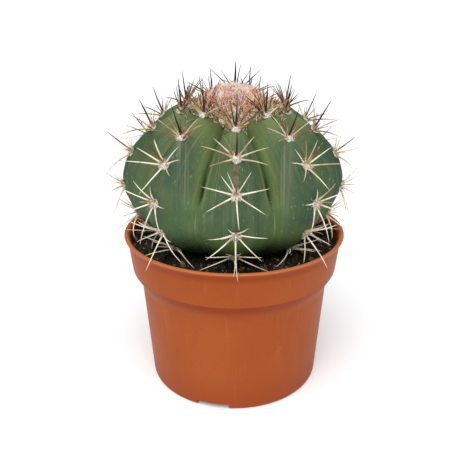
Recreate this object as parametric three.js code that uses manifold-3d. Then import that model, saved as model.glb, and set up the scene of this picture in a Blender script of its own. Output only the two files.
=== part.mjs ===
// A melon cactus with a young cephalium, growing in a plastic nursery pot.
// Millimetres, +Z up. The origin is the middle of the pot's foot, on the table.
// Azimuth 0 looks out along -Y, the side that the viewer sees, and grows towards +X.

import * as THREE from "three";
import { mergeVertices } from "three/addons/utils/BufferGeometryUtils.js";
import Module from "manifold-3d";

const wasm = await Module();
wasm.setup();

const DEGREE = Math.PI / 180;

// Gap that neighbouring pieces keep.
const GAP = 0.3;
// Gap between the stem and what grows on it, measured square to the rib crest.
const SKIN_GAP = 0.35;

// Pot, outside.
const ROUND_SEGMENTS = 36;
const POT_HEIGHT = 92.7;
const RIM_RADIUS = 65;
const LIP_THICKNESS = 1.2;
const COLLAR_TOP_RADIUS = 62.7;
const COLLAR_TOP = 86.5;
const COLLAR_FOOT_RADIUS = 60.9;
const COLLAR_FOOT = 71.2;
const SHOULDER_FOOT_RADIUS = 55.9;
const SHOULDER_FOOT = 62.6;
const FOOT_RADIUS = 51.3;
const FOOT_ROUNDING = 1.6;
const WALL = 1.5;
// Softened edges of the pot: the lip's, and the bevel under the collar.
const LIP_ROUNDING = 0.3;
const LIP_BEVEL = 0.5;
const LIP_INSIDE_DEPTH = 2;
const COLLAR_BEVEL_IN = 0.5;
const COLLAR_BEVEL_DOWN = 1;
const INSIDE_STEP_RISE = 0.5;

// Three drainage notches in the pot's foot, each with a raised floor and a hole.
const NOTCH_COUNT = 3;
const NOTCH_AZIMUTH = -14 * DEGREE;
const NOTCH_WIDTH = 19;
const NOTCH_HEIGHT = 3.3;
const NOTCH_INNER = 38;
const DRAIN_RADIUS = 3.5;
const DRAIN_AT = 43.5;
const DRAIN_SEGMENTS = 12;
const CUT_MARGIN = 6;

// Soil.
const SOIL_LEVEL = 86;
const SOIL_RINGS = [57, 53, 49, 45, 40];
// The top of the soil is uneven: two crossing waves, as radians for each millimetre.
const SOIL_WAVES = [
  { x: 0.55, y: 0.48, start: 1.3, rise: 0.45 },
  { x: 0.7, y: -0.9, start: 0, rise: 0.25 },
];
const SOIL_FLAT_EDGE = 1;
const GRIT_COUNT = 26;
const GRIT_SIZE = 1.9;
const GRIT_SIZE_SPREAD = 0.35;
const GRIT_SHAPE = [1.2, 0.95, 0.85];
const GRIT_TURN = 3;
const GRIT_INNER = 44;
const GRIT_OUTER = 58;
const GRIT_DRIFT = 0.07;

// Stem: the rib crests lie on a rounded body of revolution.
const RIBS = 9;
const STEM_RADIUS = 62;
const WAIST = 127.8;
const CROWN_RISE = 43.4;
const FOOT_DROP = 50;
const ROUNDNESS = 1.84;
const FURROW_DEPTH = 13.5;
const FURROW_LOW_SHARE = 0.17;
const FURROW_CROWN_INNER = 8;
const FURROW_CROWN_OUTER = 24;
// Heights between which a furrow flattens out. The front has swollen, so it ends higher there.
const FURROW_FADE_FRONT = [112, 142];
const FURROW_FADE_BACK = [97, 132];
const SWOLLEN_SHARPNESS = 4;
const CREST_SHARPNESS = 1.4;
const STEM_ROWS = 22;
const STEM_FOOT_ANGLE = -80 * DEGREE;
const RIB_SECTION = [-1, -0.86, -0.62, -0.3, 0, 0.3, 0.62, 0.86];
const SOCKET_EXTRA = 0.2;

// The whole plant leans a little towards the viewer and to the right, about a point inside it.
const LEAN = 5 * DEGREE;
const SIDE_LEAN = 1 * DEGREE;
const LEAN_PIVOT = 110;
const PLANT_SHIFT = -1.1;

// Rib azimuths: even, with a small drift.
const RIB_TURN = 1.6 * DEGREE;
const RIB_DRIFT = 2 * DEGREE;

// Areoles: distances from the crown along a crest, for a rib with no shift.
const AREOLE_ARCS = [25, 43.5, 60.5, 81, 100, 117, 134];
const AREOLES_PER_RIB = 6;
// How far each rib's areoles have moved on towards the next place in that list.
const RIB_SHIFT = [0.45, 0, 0.27, 0.6, 0.1, 0.5, 0.35, 0.27, 0];
// The front rib has grown longer low down.
const FRONT_STRETCH = 7;
const FRONT_STRETCH_ARC = 110;
const LOWEST_AREOLE = 91;
const PAD_LENGTH = 3.1;
const PAD_WIDTH = 2.8;
const PAD_HEIGHT = 1.9;
const PAD_SEGMENTS = 7;
const PAD_PROFILE = [[0, 0], [1, 0], [0.8, 0.62], [0, 1]];

// Spines of one areole: distance of the root from its middle, and lift off the skin. Then, at
// four distances down the rib, angle from the way up the rib and length. Those with two sides
// grow left and right.
const SPINE_ARCS = [34, 50, 71, 93];
const SPINE_KINDS = [
  { sides: [1, -1], root: 1.9, lift: 27, angle: [40, 53, 33, 22], length: [15, 12, 12.5, 13] },
  { sides: [1, -1], root: 1.9, lift: 24, angle: [66, 86, 74, 72], length: [17, 17, 16.5, 16] },
  { sides: [1, -1], root: 1.9, lift: 24, angle: [92, 117, 119, 126], length: [16, 16, 17, 18] },
  { sides: [1, -1], root: 0.9, lift: 42, angle: [17, 17, 17, 17], length: [14, 0, 0, 0] },
  { sides: [1], root: 1.9, lift: 24, angle: [180, 180, 180, 180], length: [0, 3, 16, 23] },
  { sides: [1], root: 0.7, lift: 75, angle: [0, 0, 0, 0], length: [16.5, 18, 14.5, 4] },
];
const SPINES = SPINE_KINDS.flatMap((kind) => kind.sides.map((turn) => ({ ...kind, turn })));
const SHORTEST_SPINE = 2.5;
const YOUNG_ARC = 46;
const SPINE_RADIUS = 0.62;
const SPINE_SIDES = 3;
const ROOT_HEIGHT = 1.05;
const ANGLE_JITTER = 6;
const LIFT_JITTER = 5;
const LENGTH_JITTER = 0.1;

// How a spine is bent clear of what it would cross. Low on the stem it is bent upwards too.
const LOW_FROM = 120;
const LOW_TO = 98;
const LOW_RISE = 1;
const CLEAR_STEPS = 16;
const LIFT_STEP = 5;
const SPREAD_STEP = 4;
const SPREAD_STEPS = 3;
const SHORTEN_FROM = 9;
const SHORTEN_STEP = 0.07;
const SPINE_CLEARANCE = 1.25;
const PAD_CLEARANCE = 4.2;
const SOIL_CLEARANCE = 2.6;
const RIM_CLEARANCE = 1.2;

// Cephalium: a low woolly cap with bristles, seated on the crown.
const CAP_CENTRE = 167.6;
const CAP_RADIUS = 15.6;
const CAP_RISE = 8.6;
const BRISTLE_COUNT = 100;
const BRISTLE_REACH = 2.9;
const BRISTLE_REACH_SPREAD = 0.3;
const BRISTLE_RADIUS = 0.75;
const BRISTLE_HIGHEST = 0.98;
const BRISTLE_LOWEST = -0.35;
const BRISTLE_ROOT = 0.86;
const BRISTLE_OUT = 0.8;
const BRISTLE_UP = 0.55;
const BRISTLE_DRIFT = 0.12;
const BRISTLE_TWIST = 0.1;
const CAP_CLEAR_RADIUS = 21;
const CAP_CLEAR_RISE = 12.6;
// Bristles that stick out low all round the cap, just short of the room that spines leave it.
const SKIRT_COUNT = 45;
const SKIRT_ROOT_RADIUS = 13;
const SKIRT_ROOT_RISE = 1.9;
const SKIRT_REACH = 0.96;
const SKIRT_LOWEST = 17 * DEGREE;
const SKIRT_HIGHEST = 40 * DEGREE;
const SKIRT_DRIFT = 0.3;
const CAP_SEGMENTS = 16;
const CAP_ROWS = 9;

// Draws for bristles and grit are kept apart from those for spines by their first number.
const SEED = 20261;
const BRISTLE_DRAWS = 200;
const SKIRT_DRAWS = 250;
const GRIT_DRAWS = 300;

const material = (color, roughness) =>
  new THREE.MeshStandardMaterial({ color, roughness, metalness: 0 });
const POT_MATERIAL = material(0xb0603a, 0.55);
const SOIL_MATERIAL = material(0x2b221c, 1);
const STEM_MATERIAL = material(0x4f6f52, 0.6);
const YOUNG_SPINE_MATERIAL = material(0x6b4a3c, 0.6);
const OLD_SPINE_MATERIAL = material(0xe0d2ae, 0.6);
const CAP_MATERIAL = material(0xd08c7c, 0.95);

// A repeatable draw between -1 and 1 for three whole numbers.
function draw(a, b, c) {
  let h = SEED ^ Math.imul(a + 1, 374761393);
  h ^= Math.imul(b + 1, 668265263) ^ Math.imul(c + 1, 1442695041);
  h = Math.imul(h ^ (h >>> 15), 2246822519);
  h = Math.imul(h ^ (h >>> 13), 3266489917);
  h ^= h >>> 16;
  return (h >>> 0) / 2147483648 - 1;
}

const clamp01 = (x) => Math.min(1, Math.max(0, x));
const mix = (a, b, share) => a + (b - a) * share;

function smoothstep(from, to, x) {
  const s = clamp01((x - from) / (to - from));
  return s * s * (3 - 2 * s);
}

// Solids and geometries.

function solidOf(geometry) {
  const plain = geometry.clone();
  plain.deleteAttribute("normal");
  plain.deleteAttribute("uv");
  const merged = mergeVertices(plain, 1e-4);
  const source = merged.index.array;
  const triangles = [];
  for (let i = 0; i < source.length; i += 3) {
    const [a, b, c] = [source[i], source[i + 1], source[i + 2]];
    if (a !== b && b !== c && c !== a) triangles.push(a, b, c);
  }
  const vertProperties = new Float32Array(merged.attributes.position.array);
  const triVerts = new Uint32Array(triangles);
  return new wasm.Manifold(new wasm.Mesh({ numProp: 3, vertProperties, triVerts }));
}

function geometryOf(solid) {
  const mesh = solid.getMesh();
  const geometry = new THREE.BufferGeometry();
  geometry.setAttribute("position", new THREE.BufferAttribute(mesh.vertProperties, 3));
  geometry.setIndex(new THREE.BufferAttribute(mesh.triVerts, 1));
  return geometry;
}

// The largest body of a solid: a loose scrap that a cut leaves is dropped.
function mainBody(solid) {
  return solid.decompose().sort((a, b) => b.volume() - a.volume())[0];
}

// A closed body turned from a profile of [radius, height] points, bottom to top outside.
function turned(profile, segments) {
  const points = profile.map(([r, z]) => new THREE.Vector2(r, z));
  return new THREE.LatheGeometry(points, segments).rotateX(Math.PI / 2);
}

// Stem shape.

function crestPoint(angle) {
  const side = Math.abs(Math.cos(angle)) ** (2 / ROUNDNESS);
  const rise = Math.sign(angle) * Math.abs(Math.sin(angle)) ** (2 / ROUNDNESS);
  return { r: STEM_RADIUS * side, z: WAIST + (angle > 0 ? CROWN_RISE : FOOT_DROP) * rise };
}

// The crest as a fine line from the crown down, with its length so far and its normal.
const CREST_STEP = 0.25 * DEGREE;
const CROWN_ANGLE = Math.PI / 2 - 1e-6;
const crestLine = [];
for (let angle = CROWN_ANGLE; angle > STEM_FOOT_ANGLE; angle -= CREST_STEP) {
  const here = crestPoint(angle);
  const above = crestPoint(angle + CREST_STEP / 2);
  const below = crestPoint(angle - CREST_STEP / 2);
  const chord = Math.hypot(above.r - below.r, above.z - below.z);
  const last = crestLine[crestLine.length - 1];
  const arc = last ? last.arc + Math.hypot(here.r - last.r, here.z - last.z) : 0;
  const normal = { nr: (above.z - below.z) / chord, nz: (below.r - above.r) / chord };
  crestLine.push({ ...here, ...normal, arc });
}

function crestAtArc(arc) {
  return crestLine.find((point) => point.arc >= arc);
}

function crestAtAngle(angle) {
  const index = Math.round((Math.PI / 2 - angle) / CREST_STEP);
  return crestLine[Math.min(index, crestLine.length - 1)];
}

function furrowDepth(point, azimuth) {
  const swollen = ((1 + Math.cos(azimuth)) / 2) ** SWOLLEN_SHARPNESS;
  const low = mix(FURROW_FADE_BACK[0], FURROW_FADE_FRONT[0], swollen);
  const high = mix(FURROW_FADE_BACK[1], FURROW_FADE_FRONT[1], swollen);
  const fade = mix(FURROW_LOW_SHARE, 1, smoothstep(low, high, point.z));
  return FURROW_DEPTH * fade * smoothstep(FURROW_CROWN_INNER, FURROW_CROWN_OUTER, point.r);
}

const ribAzimuth = (rib) => {
  const even = (rib * 2 * Math.PI) / RIBS;
  return RIB_TURN + even + RIB_DRIFT * Math.sin(2 * even);
};

// Azimuth at a place across a rib: -1 and 1 are its furrows and 0 is its crest.
function azimuthAcross(rib, across) {
  const crest = ribAzimuth(rib);
  const neighbour = ribAzimuth(across < 0 ? rib - 1 : rib + 1);
  return crest + (Math.abs(across) * (neighbour - crest)) / 2;
}

function atAzimuth(azimuth, r, z) {
  return new THREE.Vector3(r * Math.sin(azimuth), -r * Math.cos(azimuth), z);
}

// The ribbed stem as one closed skin, moved out by grow square to the crest line.
function stemGeometry(grow) {
  const rows = [];
  for (let row = 1; row <= STEM_ROWS; row += 1) {
    const angle = mix(Math.PI / 2, STEM_FOOT_ANGLE, row / STEM_ROWS);
    const point = crestAtAngle(angle);
    const ring = [];
    for (let rib = 0; rib < RIBS; rib += 1) {
      for (const across of RIB_SECTION) {
        const azimuth = azimuthAcross(rib, across);
        const out = grow - furrowDepth(point, azimuth) * Math.abs(across) ** CREST_SHARPNESS;
        ring.push(atAzimuth(azimuth, point.r + out * point.nr, point.z + out * point.nz));
      }
    }
    rows.push(ring);
  }
  const crown = new THREE.Vector3(0, 0, WAIST + CROWN_RISE + grow);
  const foot = new THREE.Vector3(0, 0, rows[STEM_ROWS - 1][0].z - grow);
  const count = rows[0].length;
  const positions = [crown, ...rows.flat(), foot].flatMap((p) => [p.x, p.y, p.z]);
  const vertex = (row, column) => 1 + row * count + (column % count);
  const index = [];
  for (let column = 0; column < count; column += 1) {
    index.push(0, vertex(0, column), vertex(0, column + 1));
    for (let row = 0; row < STEM_ROWS - 1; row += 1) {
      const [a, b] = [vertex(row, column), vertex(row, column + 1)];
      const [c, d] = [vertex(row + 1, column), vertex(row + 1, column + 1)];
      index.push(a, c, d, a, d, b);
    }
    index.push(1 + STEM_ROWS * count, vertex(STEM_ROWS - 1, column + 1), vertex(STEM_ROWS - 1, column));
  }
  const geometry = new THREE.BufferGeometry();
  geometry.setAttribute("position", new THREE.Float32BufferAttribute(positions, 3));
  geometry.setIndex(index);
  return geometry;
}

const stemClearance = solidOf(stemGeometry(SKIN_GAP));

// The plant's group: everything that grows is modelled upright and leans with it.
const plant = new THREE.Group();
plant.rotation.set(LEAN, SIDE_LEAN, 0);
const pivot = new THREE.Vector3(0, 0, LEAN_PIVOT);
plant.position.copy(pivot).sub(pivot.clone().applyEuler(plant.rotation));
plant.position.x += PLANT_SHIFT;
plant.updateMatrixWorld(true);

// Areoles.

const UPWARDS = new THREE.Vector3(0, 0, 1);

function areoleArc(rib, level) {
  const shift = RIB_SHIFT[rib];
  const arc = mix(AREOLE_ARCS[level], AREOLE_ARCS[level + 1], shift);
  return rib === 0 ? arc + FRONT_STRETCH * (arc / FRONT_STRETCH_ARC) ** 4 : arc;
}

function allAreoles() {
  const list = [];
  for (let rib = 0; rib < RIBS; rib += 1) {
    for (let level = 0; level < AREOLES_PER_RIB; level += 1) {
      const arc = areoleArc(rib, level);
      const point = crestAtArc(arc);
      if (!point || point.z < LOWEST_AREOLE) continue;
      const azimuth = ribAzimuth(rib);
      const centre = atAzimuth(azimuth, point.r, point.z);
      const out = atAzimuth(azimuth, point.nr, point.nz);
      const up = atAzimuth(azimuth, -point.nz, point.nr);
      const side = new THREE.Vector3().crossVectors(up, out);
      const rise = LOW_RISE * smoothstep(LOW_FROM, LOW_TO, point.z);
      const away = out.clone().addScaledVector(UPWARDS, rise).normalize();
      list.push({ rib, level, arc, centre, out, up, side, away });
    }
  }
  return list;
}

const areoles = allAreoles();

// Shortest distance between two straight spines.
function segmentDistance(p1, q1, p2, q2) {
  const d1 = q1.clone().sub(p1);
  const d2 = q2.clone().sub(p2);
  const r = p1.clone().sub(p2);
  const a = d1.dot(d1);
  const e = d2.dot(d2);
  const f = d2.dot(r);
  const c = d1.dot(r);
  const b = d1.dot(d2);
  const denominator = a * e - b * b;
  let s = denominator > 1e-9 ? clamp01((b * f - c * e) / denominator) : 0;
  let t = (b * s + f) / e;
  if (t < 0) {
    t = 0;
    s = clamp01(-c / a);
  } else if (t > 1) {
    t = 1;
    s = clamp01((b - c) / a);
  }
  return p1.clone().addScaledVector(d1, s).distanceTo(p2.clone().addScaledVector(d2, t));
}

function pointToSegment(point, start, end) {
  const along = end.clone().sub(start);
  const share = clamp01(point.clone().sub(start).dot(along) / along.lengthSq());
  return start.clone().addScaledVector(along, share).distanceTo(point);
}

// Whether a point, in the plant's own frame, is clear of the cap, the soil and the pot.
function pointIsClear(point) {
  const inCap = Math.hypot(point.x, point.y) / CAP_CLEAR_RADIUS;
  if (Math.hypot(inCap, (point.z - CAP_CENTRE) / CAP_CLEAR_RISE) < 1) return false;
  const world = point.clone().applyMatrix4(plant.matrixWorld);
  if (world.z > POT_HEIGHT + RIM_CLEARANCE) return true;
  const radius = Math.hypot(world.x, world.y);
  if (radius > RIM_RADIUS + RIM_CLEARANCE) return true;
  return radius < COLLAR_TOP_RADIUS - WALL - RIM_CLEARANCE && world.z > SOIL_LEVEL + SOIL_CLEARANCE;
}

const SPINE_SAMPLES = 12;
const FIRST_SAMPLE = 2;
const placedSpines = [];

// Whether a spine is clear of all of those, of the other pads and of the spines placed so far.
function spineIsClear(areole, start, end) {
  for (let i = FIRST_SAMPLE; i <= SPINE_SAMPLES; i += 1) {
    if (!pointIsClear(start.clone().lerp(end, i / SPINE_SAMPLES))) return false;
  }
  for (const other of areoles) {
    if (other !== areole && pointToSegment(other.centre, start, end) < PAD_CLEARANCE) return false;
  }
  const others = placedSpines.filter((spine) => spine.areole !== areole);
  return others.every((spine) => segmentDistance(start, end, spine.start, spine.end) > SPINE_CLEARANCE);
}

// A value of the spine table at an areole's distance down the rib.
function atArc(values, arc) {
  const passed = SPINE_ARCS.filter((known) => known < arc).length;
  const next = Math.min(Math.max(passed, 1), SPINE_ARCS.length - 1);
  const share = (arc - SPINE_ARCS[next - 1]) / (SPINE_ARCS[next] - SPINE_ARCS[next - 1]);
  return mix(values[next - 1], values[next], clamp01(share));
}

// One spine of an areole, raised, spread and at last shortened until it is clear.
function placeSpine(areole, number) {
  const kind = SPINES[number];
  const place = areole.rib * AREOLES_PER_RIB + areole.level;
  const angle = atArc(kind.angle, areole.arc) + ANGLE_JITTER * draw(place, number, 0);
  const lift = kind.lift + LIFT_JITTER * draw(place, number, 1);
  const length = atArc(kind.length, areole.arc) * (1 + LENGTH_JITTER * draw(place, number, 2));
  if (length < SHORTEST_SPINE) return null;
  const { centre, out, up, side, away } = areole;
  let spine = null;
  for (let step = 0; step < CLEAR_STEPS; step += 1) {
    const spread = kind.turn * (angle + SPREAD_STEP * (step % SPREAD_STEPS)) * DEGREE;
    const raised = (lift + LIFT_STEP * step) * DEGREE;
    const reach = length * (1 - SHORTEN_STEP * Math.max(0, step - SHORTEN_FROM));
    const along = up.clone().multiplyScalar(Math.cos(spread)).addScaledVector(side, Math.sin(spread));
    const start = centre.clone().addScaledVector(along, kind.root).addScaledVector(out, ROOT_HEIGHT);
    const way = along.clone().multiplyScalar(Math.cos(raised)).addScaledVector(away, Math.sin(raised));
    const end = start.clone().addScaledVector(way.normalize(), reach);
    spine = { areole, start, end };
    if (spineIsClear(areole, start, end)) break;
  }
  placedSpines.push(spine);
  return spine;
}

// A slim pointed needle from start to end.
function needle(start, end, radius, sides) {
  const length = start.distanceTo(end);
  const cone = new THREE.ConeGeometry(radius, length, sides, 1).translate(0, length / 2, 0);
  const turn = new THREE.Quaternion().setFromUnitVectors(
    new THREE.Vector3(0, 1, 0),
    end.clone().sub(start).normalize(),
  );
  return cone.applyQuaternion(turn).translate(start.x, start.y, start.z);
}

// One areole: its felt pad, a low dome on the rib crest, with the spines rooted in it.
function areoleSolid(areole) {
  const pad = turned(PAD_PROFILE, PAD_SEGMENTS);
  pad.scale(PAD_WIDTH, PAD_LENGTH, PAD_HEIGHT).translate(0, 0, SKIN_GAP);
  const place = new THREE.Matrix4().makeBasis(areole.side, areole.up, areole.out);
  place.setPosition(areole.centre);
  let solid = solidOf(pad.applyMatrix4(place));
  for (let number = 0; number < SPINES.length; number += 1) {
    const spine = placeSpine(areole, number);
    if (spine) solid = solid.add(solidOf(needle(spine.start, spine.end, SPINE_RADIUS, SPINE_SIDES)));
  }
  return solid;
}

// Cephalium.

// A flattened ball with bristles all over it, cut to sit on the crown.
function capSolid() {
  const core = new THREE.SphereGeometry(1, CAP_SEGMENTS, CAP_ROWS).rotateX(Math.PI / 2);
  core.scale(CAP_RADIUS, CAP_RADIUS, CAP_RISE).translate(0, 0, CAP_CENTRE);
  let solid = solidOf(core);
  const goldenAngle = Math.PI * (3 - Math.sqrt(5));
  for (let i = 0; i < BRISTLE_COUNT; i += 1) {
    const height = mix(BRISTLE_HIGHEST, BRISTLE_LOWEST, (i + 0.5) / BRISTLE_COUNT);
    const spread = Math.sqrt(1 - height * height);
    const turn = i * goldenAngle + BRISTLE_DRIFT * draw(BRISTLE_DRAWS, i, 0);
    const reach = BRISTLE_REACH * (1 + BRISTLE_REACH_SPREAD * draw(BRISTLE_DRAWS, i, 1));
    const rootRise = BRISTLE_ROOT * CAP_RISE * height;
    const root = atAzimuth(turn, BRISTLE_ROOT * CAP_RADIUS * spread, CAP_CENTRE + rootRise);
    const tipRise = CAP_RISE * height + reach * mix(BRISTLE_UP, 1, clamp01(height));
    const tip = atAzimuth(
      turn + BRISTLE_TWIST * draw(BRISTLE_DRAWS, i, 2),
      (CAP_RADIUS + BRISTLE_OUT * reach) * spread,
      CAP_CENTRE + tipRise,
    );
    solid = solid.add(solidOf(needle(root, tip, BRISTLE_RADIUS, SPINE_SIDES)));
  }
  for (let i = 0; i < SKIRT_COUNT; i += 1) {
    const turn = ((i + SKIRT_DRIFT * draw(SKIRT_DRAWS, i, 0)) * 2 * Math.PI) / SKIRT_COUNT;
    const slope = mix(SKIRT_LOWEST, SKIRT_HIGHEST, (1 + draw(SKIRT_DRAWS, i, 1)) / 2);
    const root = atAzimuth(turn, SKIRT_ROOT_RADIUS, CAP_CENTRE + SKIRT_ROOT_RISE);
    const reach = SKIRT_REACH * CAP_CLEAR_RADIUS * Math.cos(slope);
    const tip = atAzimuth(turn, reach, CAP_CENTRE + SKIRT_REACH * CAP_CLEAR_RISE * Math.sin(slope));
    solid = solid.add(solidOf(needle(root, tip, BRISTLE_RADIUS, SPINE_SIDES)));
  }
  return mainBody(solid.subtract(stemClearance));
}

// Pot.

// The wall's section as [radius, height] points: up the outside, then down the inside.
function potProfile() {
  const lipFoot = POT_HEIGHT - LIP_THICKNESS;
  const outside = [
    [0, 0],
    [FOOT_RADIUS - FOOT_ROUNDING, 0],
    [FOOT_RADIUS - FOOT_ROUNDING / 3, FOOT_ROUNDING / 3],
    [FOOT_RADIUS, FOOT_ROUNDING],
    [SHOULDER_FOOT_RADIUS, SHOULDER_FOOT],
    [COLLAR_FOOT_RADIUS - COLLAR_BEVEL_IN, COLLAR_FOOT - COLLAR_BEVEL_DOWN],
    [COLLAR_FOOT_RADIUS, COLLAR_FOOT],
    [COLLAR_TOP_RADIUS, COLLAR_TOP],
    [mix(COLLAR_TOP_RADIUS, RIM_RADIUS, 1 / 3), mix(COLLAR_TOP, lipFoot, 2 / 3)],
    [RIM_RADIUS - LIP_ROUNDING, lipFoot],
    [RIM_RADIUS, mix(lipFoot, POT_HEIGHT, 1 / 2)],
    [RIM_RADIUS - LIP_BEVEL, POT_HEIGHT],
  ];
  const inside = [
    [COLLAR_TOP_RADIUS, POT_HEIGHT],
    [COLLAR_TOP_RADIUS - WALL, POT_HEIGHT - LIP_INSIDE_DEPTH],
    [COLLAR_FOOT_RADIUS - WALL, COLLAR_FOOT + INSIDE_STEP_RISE],
    [SHOULDER_FOOT_RADIUS - WALL, SHOULDER_FOOT + INSIDE_STEP_RISE],
    [FOOT_RADIUS - WALL, FOOT_ROUNDING + WALL],
    [FOOT_RADIUS - WALL - FOOT_ROUNDING, WALL],
    [0, WALL],
  ];
  return { outside, inside };
}

const notchAzimuth = (i) => NOTCH_AZIMUTH + (i * 2 * Math.PI) / NOTCH_COUNT;

// A block across the foot at each notch, from a radius outwards and from bottom to top.
function notchBlocks(width, inner, bottom, top) {
  const outer = FOOT_RADIUS + CUT_MARGIN;
  const blocks = [];
  for (let i = 0; i < NOTCH_COUNT; i += 1) {
    const block = new THREE.BoxGeometry(width, outer - inner, top - bottom);
    block.translate(0, -(inner + outer) / 2, (top + bottom) / 2).rotateZ(notchAzimuth(i));
    blocks.push(solidOf(block));
  }
  return blocks;
}

// The thin-walled pot, with its notches raised into the inside and a drain hole in each.
function potSolid() {
  const { outside, inside } = potProfile();
  let pot = solidOf(turned([...outside, ...inside], ROUND_SEGMENTS));
  const filled = solidOf(turned([...outside, [0, POT_HEIGHT]], ROUND_SEGMENTS));
  const notchTop = NOTCH_HEIGHT + WALL;
  const [width, inner] = [NOTCH_WIDTH + 2 * WALL, NOTCH_INNER - WALL];
  for (const block of notchBlocks(width, inner, WALL / 2, notchTop)) {
    pot = pot.add(block.intersect(filled));
  }
  for (const block of notchBlocks(NOTCH_WIDTH, NOTCH_INNER, -WALL, NOTCH_HEIGHT)) {
    pot = pot.subtract(block);
  }
  for (let i = 0; i < NOTCH_COUNT; i += 1) {
    const drain = new THREE.CylinderGeometry(DRAIN_RADIUS, DRAIN_RADIUS, 2 * notchTop, DRAIN_SEGMENTS);
    drain.rotateX(Math.PI / 2).translate(0, -DRAIN_AT, NOTCH_HEIGHT).rotateZ(notchAzimuth(i));
    pot = pot.subtract(solidOf(drain));
  }
  return pot;
}

// Soil.

function soilRelief(x, y) {
  const rise = (wave) => wave.rise * Math.sin(wave.x * x + wave.y * y + wave.start);
  return SOIL_WAVES.reduce((sum, wave) => sum + rise(wave), 0);
}

// The soil follows the inside of the pot, has grit on top, and leaves a hole for the stem.
function soilSolid() {
  const wallLine = potProfile().inside.filter(([r]) => r > 0).reverse();
  const [lowFoot, highFoot, shoulder, collar, rim] = wallLine;
  const topRadius = mix(collar[0], rim[0], (SOIL_LEVEL - collar[1]) / (rim[1] - collar[1])) - GAP;
  const profile = [
    [0, lowFoot[1] + GAP],
    [lowFoot[0] - GAP, lowFoot[1] + GAP],
    [highFoot[0] - GAP, highFoot[1] + GAP],
    [shoulder[0] - GAP, shoulder[1] + GAP],
    [collar[0] - GAP, collar[1] + GAP],
    [topRadius, SOIL_LEVEL],
    ...SOIL_RINGS.map((r) => [r, SOIL_LEVEL]),
    [0, SOIL_LEVEL],
  ];
  const body = turned(profile, ROUND_SEGMENTS);
  const position = body.attributes.position;
  for (let i = 0; i < position.count; i += 1) {
    const [x, y, z] = [position.getX(i), position.getY(i), position.getZ(i)];
    const radius = Math.hypot(x, y);
    const inside = radius > SOIL_FLAT_EDGE && radius < topRadius - SOIL_FLAT_EDGE;
    if (inside && z > SOIL_LEVEL - GAP) position.setZ(i, z + soilRelief(x, y));
  }
  let soil = solidOf(body);
  for (let i = 0; i < GRIT_COUNT; i += 1) {
    const azimuth = (i * 2 * Math.PI) / GRIT_COUNT + GRIT_DRIFT * draw(GRIT_DRAWS, i, 0);
    const radius = mix(GRIT_INNER, GRIT_OUTER, (1 + draw(GRIT_DRAWS, i, 1)) / 2);
    const size = GRIT_SIZE * (1 + GRIT_SIZE_SPREAD * draw(GRIT_DRAWS, i, 2));
    const grit = new THREE.OctahedronGeometry(size, 0).scale(...GRIT_SHAPE);
    grit.rotateX(GRIT_TURN * draw(GRIT_DRAWS, i, 3)).rotateZ(GRIT_TURN * draw(GRIT_DRAWS, i, 4));
    const at = atAzimuth(azimuth, radius, SOIL_LEVEL);
    soil = soil.add(solidOf(grit.translate(at.x, at.y, at.z + soilRelief(at.x, at.y))));
  }
  const clear = WALL + GAP;
  const [width, inner, top] = [NOTCH_WIDTH + 2 * clear, NOTCH_INNER - clear, NOTCH_HEIGHT + clear];
  for (const block of notchBlocks(width, inner, 0, top)) soil = soil.subtract(block);
  return mainBody(soil.subtract(socketSolid()));
}

// The plain hole that the stem stands in: its crest line turned round, a little wider.
function socketSolid() {
  const grow = SKIN_GAP + SOCKET_EXTRA;
  const profile = [];
  for (let row = STEM_ROWS; row >= STEM_ROWS / 2; row -= 1) {
    const point = crestAtAngle(mix(Math.PI / 2, STEM_FOOT_ANGLE, row / STEM_ROWS));
    profile.push([point.r + grow * point.nr, point.z + grow * point.nz]);
  }
  const [lowest] = profile;
  const top = profile[profile.length - 1];
  const socket = turned([[0, lowest[1]], ...profile, [0, top[1]]], ROUND_SEGMENTS);
  return solidOf(socket.applyMatrix4(plant.matrixWorld));
}

// The model.

function namedMesh(name, geometry, meshMaterial) {
  geometry.computeVertexNormals();
  const mesh = new THREE.Mesh(geometry, meshMaterial);
  mesh.name = name;
  return mesh;
}

const group = new THREE.Group();
group.add(namedMesh("pot", geometryOf(potSolid()), POT_MATERIAL));
group.add(namedMesh("soil", geometryOf(soilSolid()), SOIL_MATERIAL));
plant.add(namedMesh("stem", stemGeometry(0), STEM_MATERIAL));
plant.add(namedMesh("cephalium", geometryOf(capSolid()), CAP_MATERIAL));
for (const areole of areoles) {
  const name = `areole_${areole.rib + 1}_${areole.level + 1}`;
  const colour = areole.arc < YOUNG_ARC ? YOUNG_SPINE_MATERIAL : OLD_SPINE_MATERIAL;
  plant.add(namedMesh(name, geometryOf(areoleSolid(areole)), colour));
}
group.add(plant);

export default group;
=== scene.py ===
import math

import bmesh
import bpy
import numpy as np
from mathutils import Matrix, Vector


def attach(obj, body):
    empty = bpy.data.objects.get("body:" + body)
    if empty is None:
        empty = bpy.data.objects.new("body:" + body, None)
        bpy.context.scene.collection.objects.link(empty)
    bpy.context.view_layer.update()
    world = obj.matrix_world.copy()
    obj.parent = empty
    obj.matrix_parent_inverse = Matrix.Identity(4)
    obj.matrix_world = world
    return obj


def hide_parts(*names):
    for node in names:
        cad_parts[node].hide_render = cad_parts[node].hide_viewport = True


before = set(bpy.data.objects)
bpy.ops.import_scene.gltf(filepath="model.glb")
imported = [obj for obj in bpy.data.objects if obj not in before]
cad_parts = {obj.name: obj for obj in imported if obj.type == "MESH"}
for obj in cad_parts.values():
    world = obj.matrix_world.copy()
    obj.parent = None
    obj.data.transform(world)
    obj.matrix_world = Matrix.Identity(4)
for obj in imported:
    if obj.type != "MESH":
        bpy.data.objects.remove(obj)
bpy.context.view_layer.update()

# Lengths here are millimetres, in the same frame as the solids: +Z up, the origin in the
# middle of the pot's foot. Azimuth 0 looks out along -Y and grows towards +X.

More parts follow.
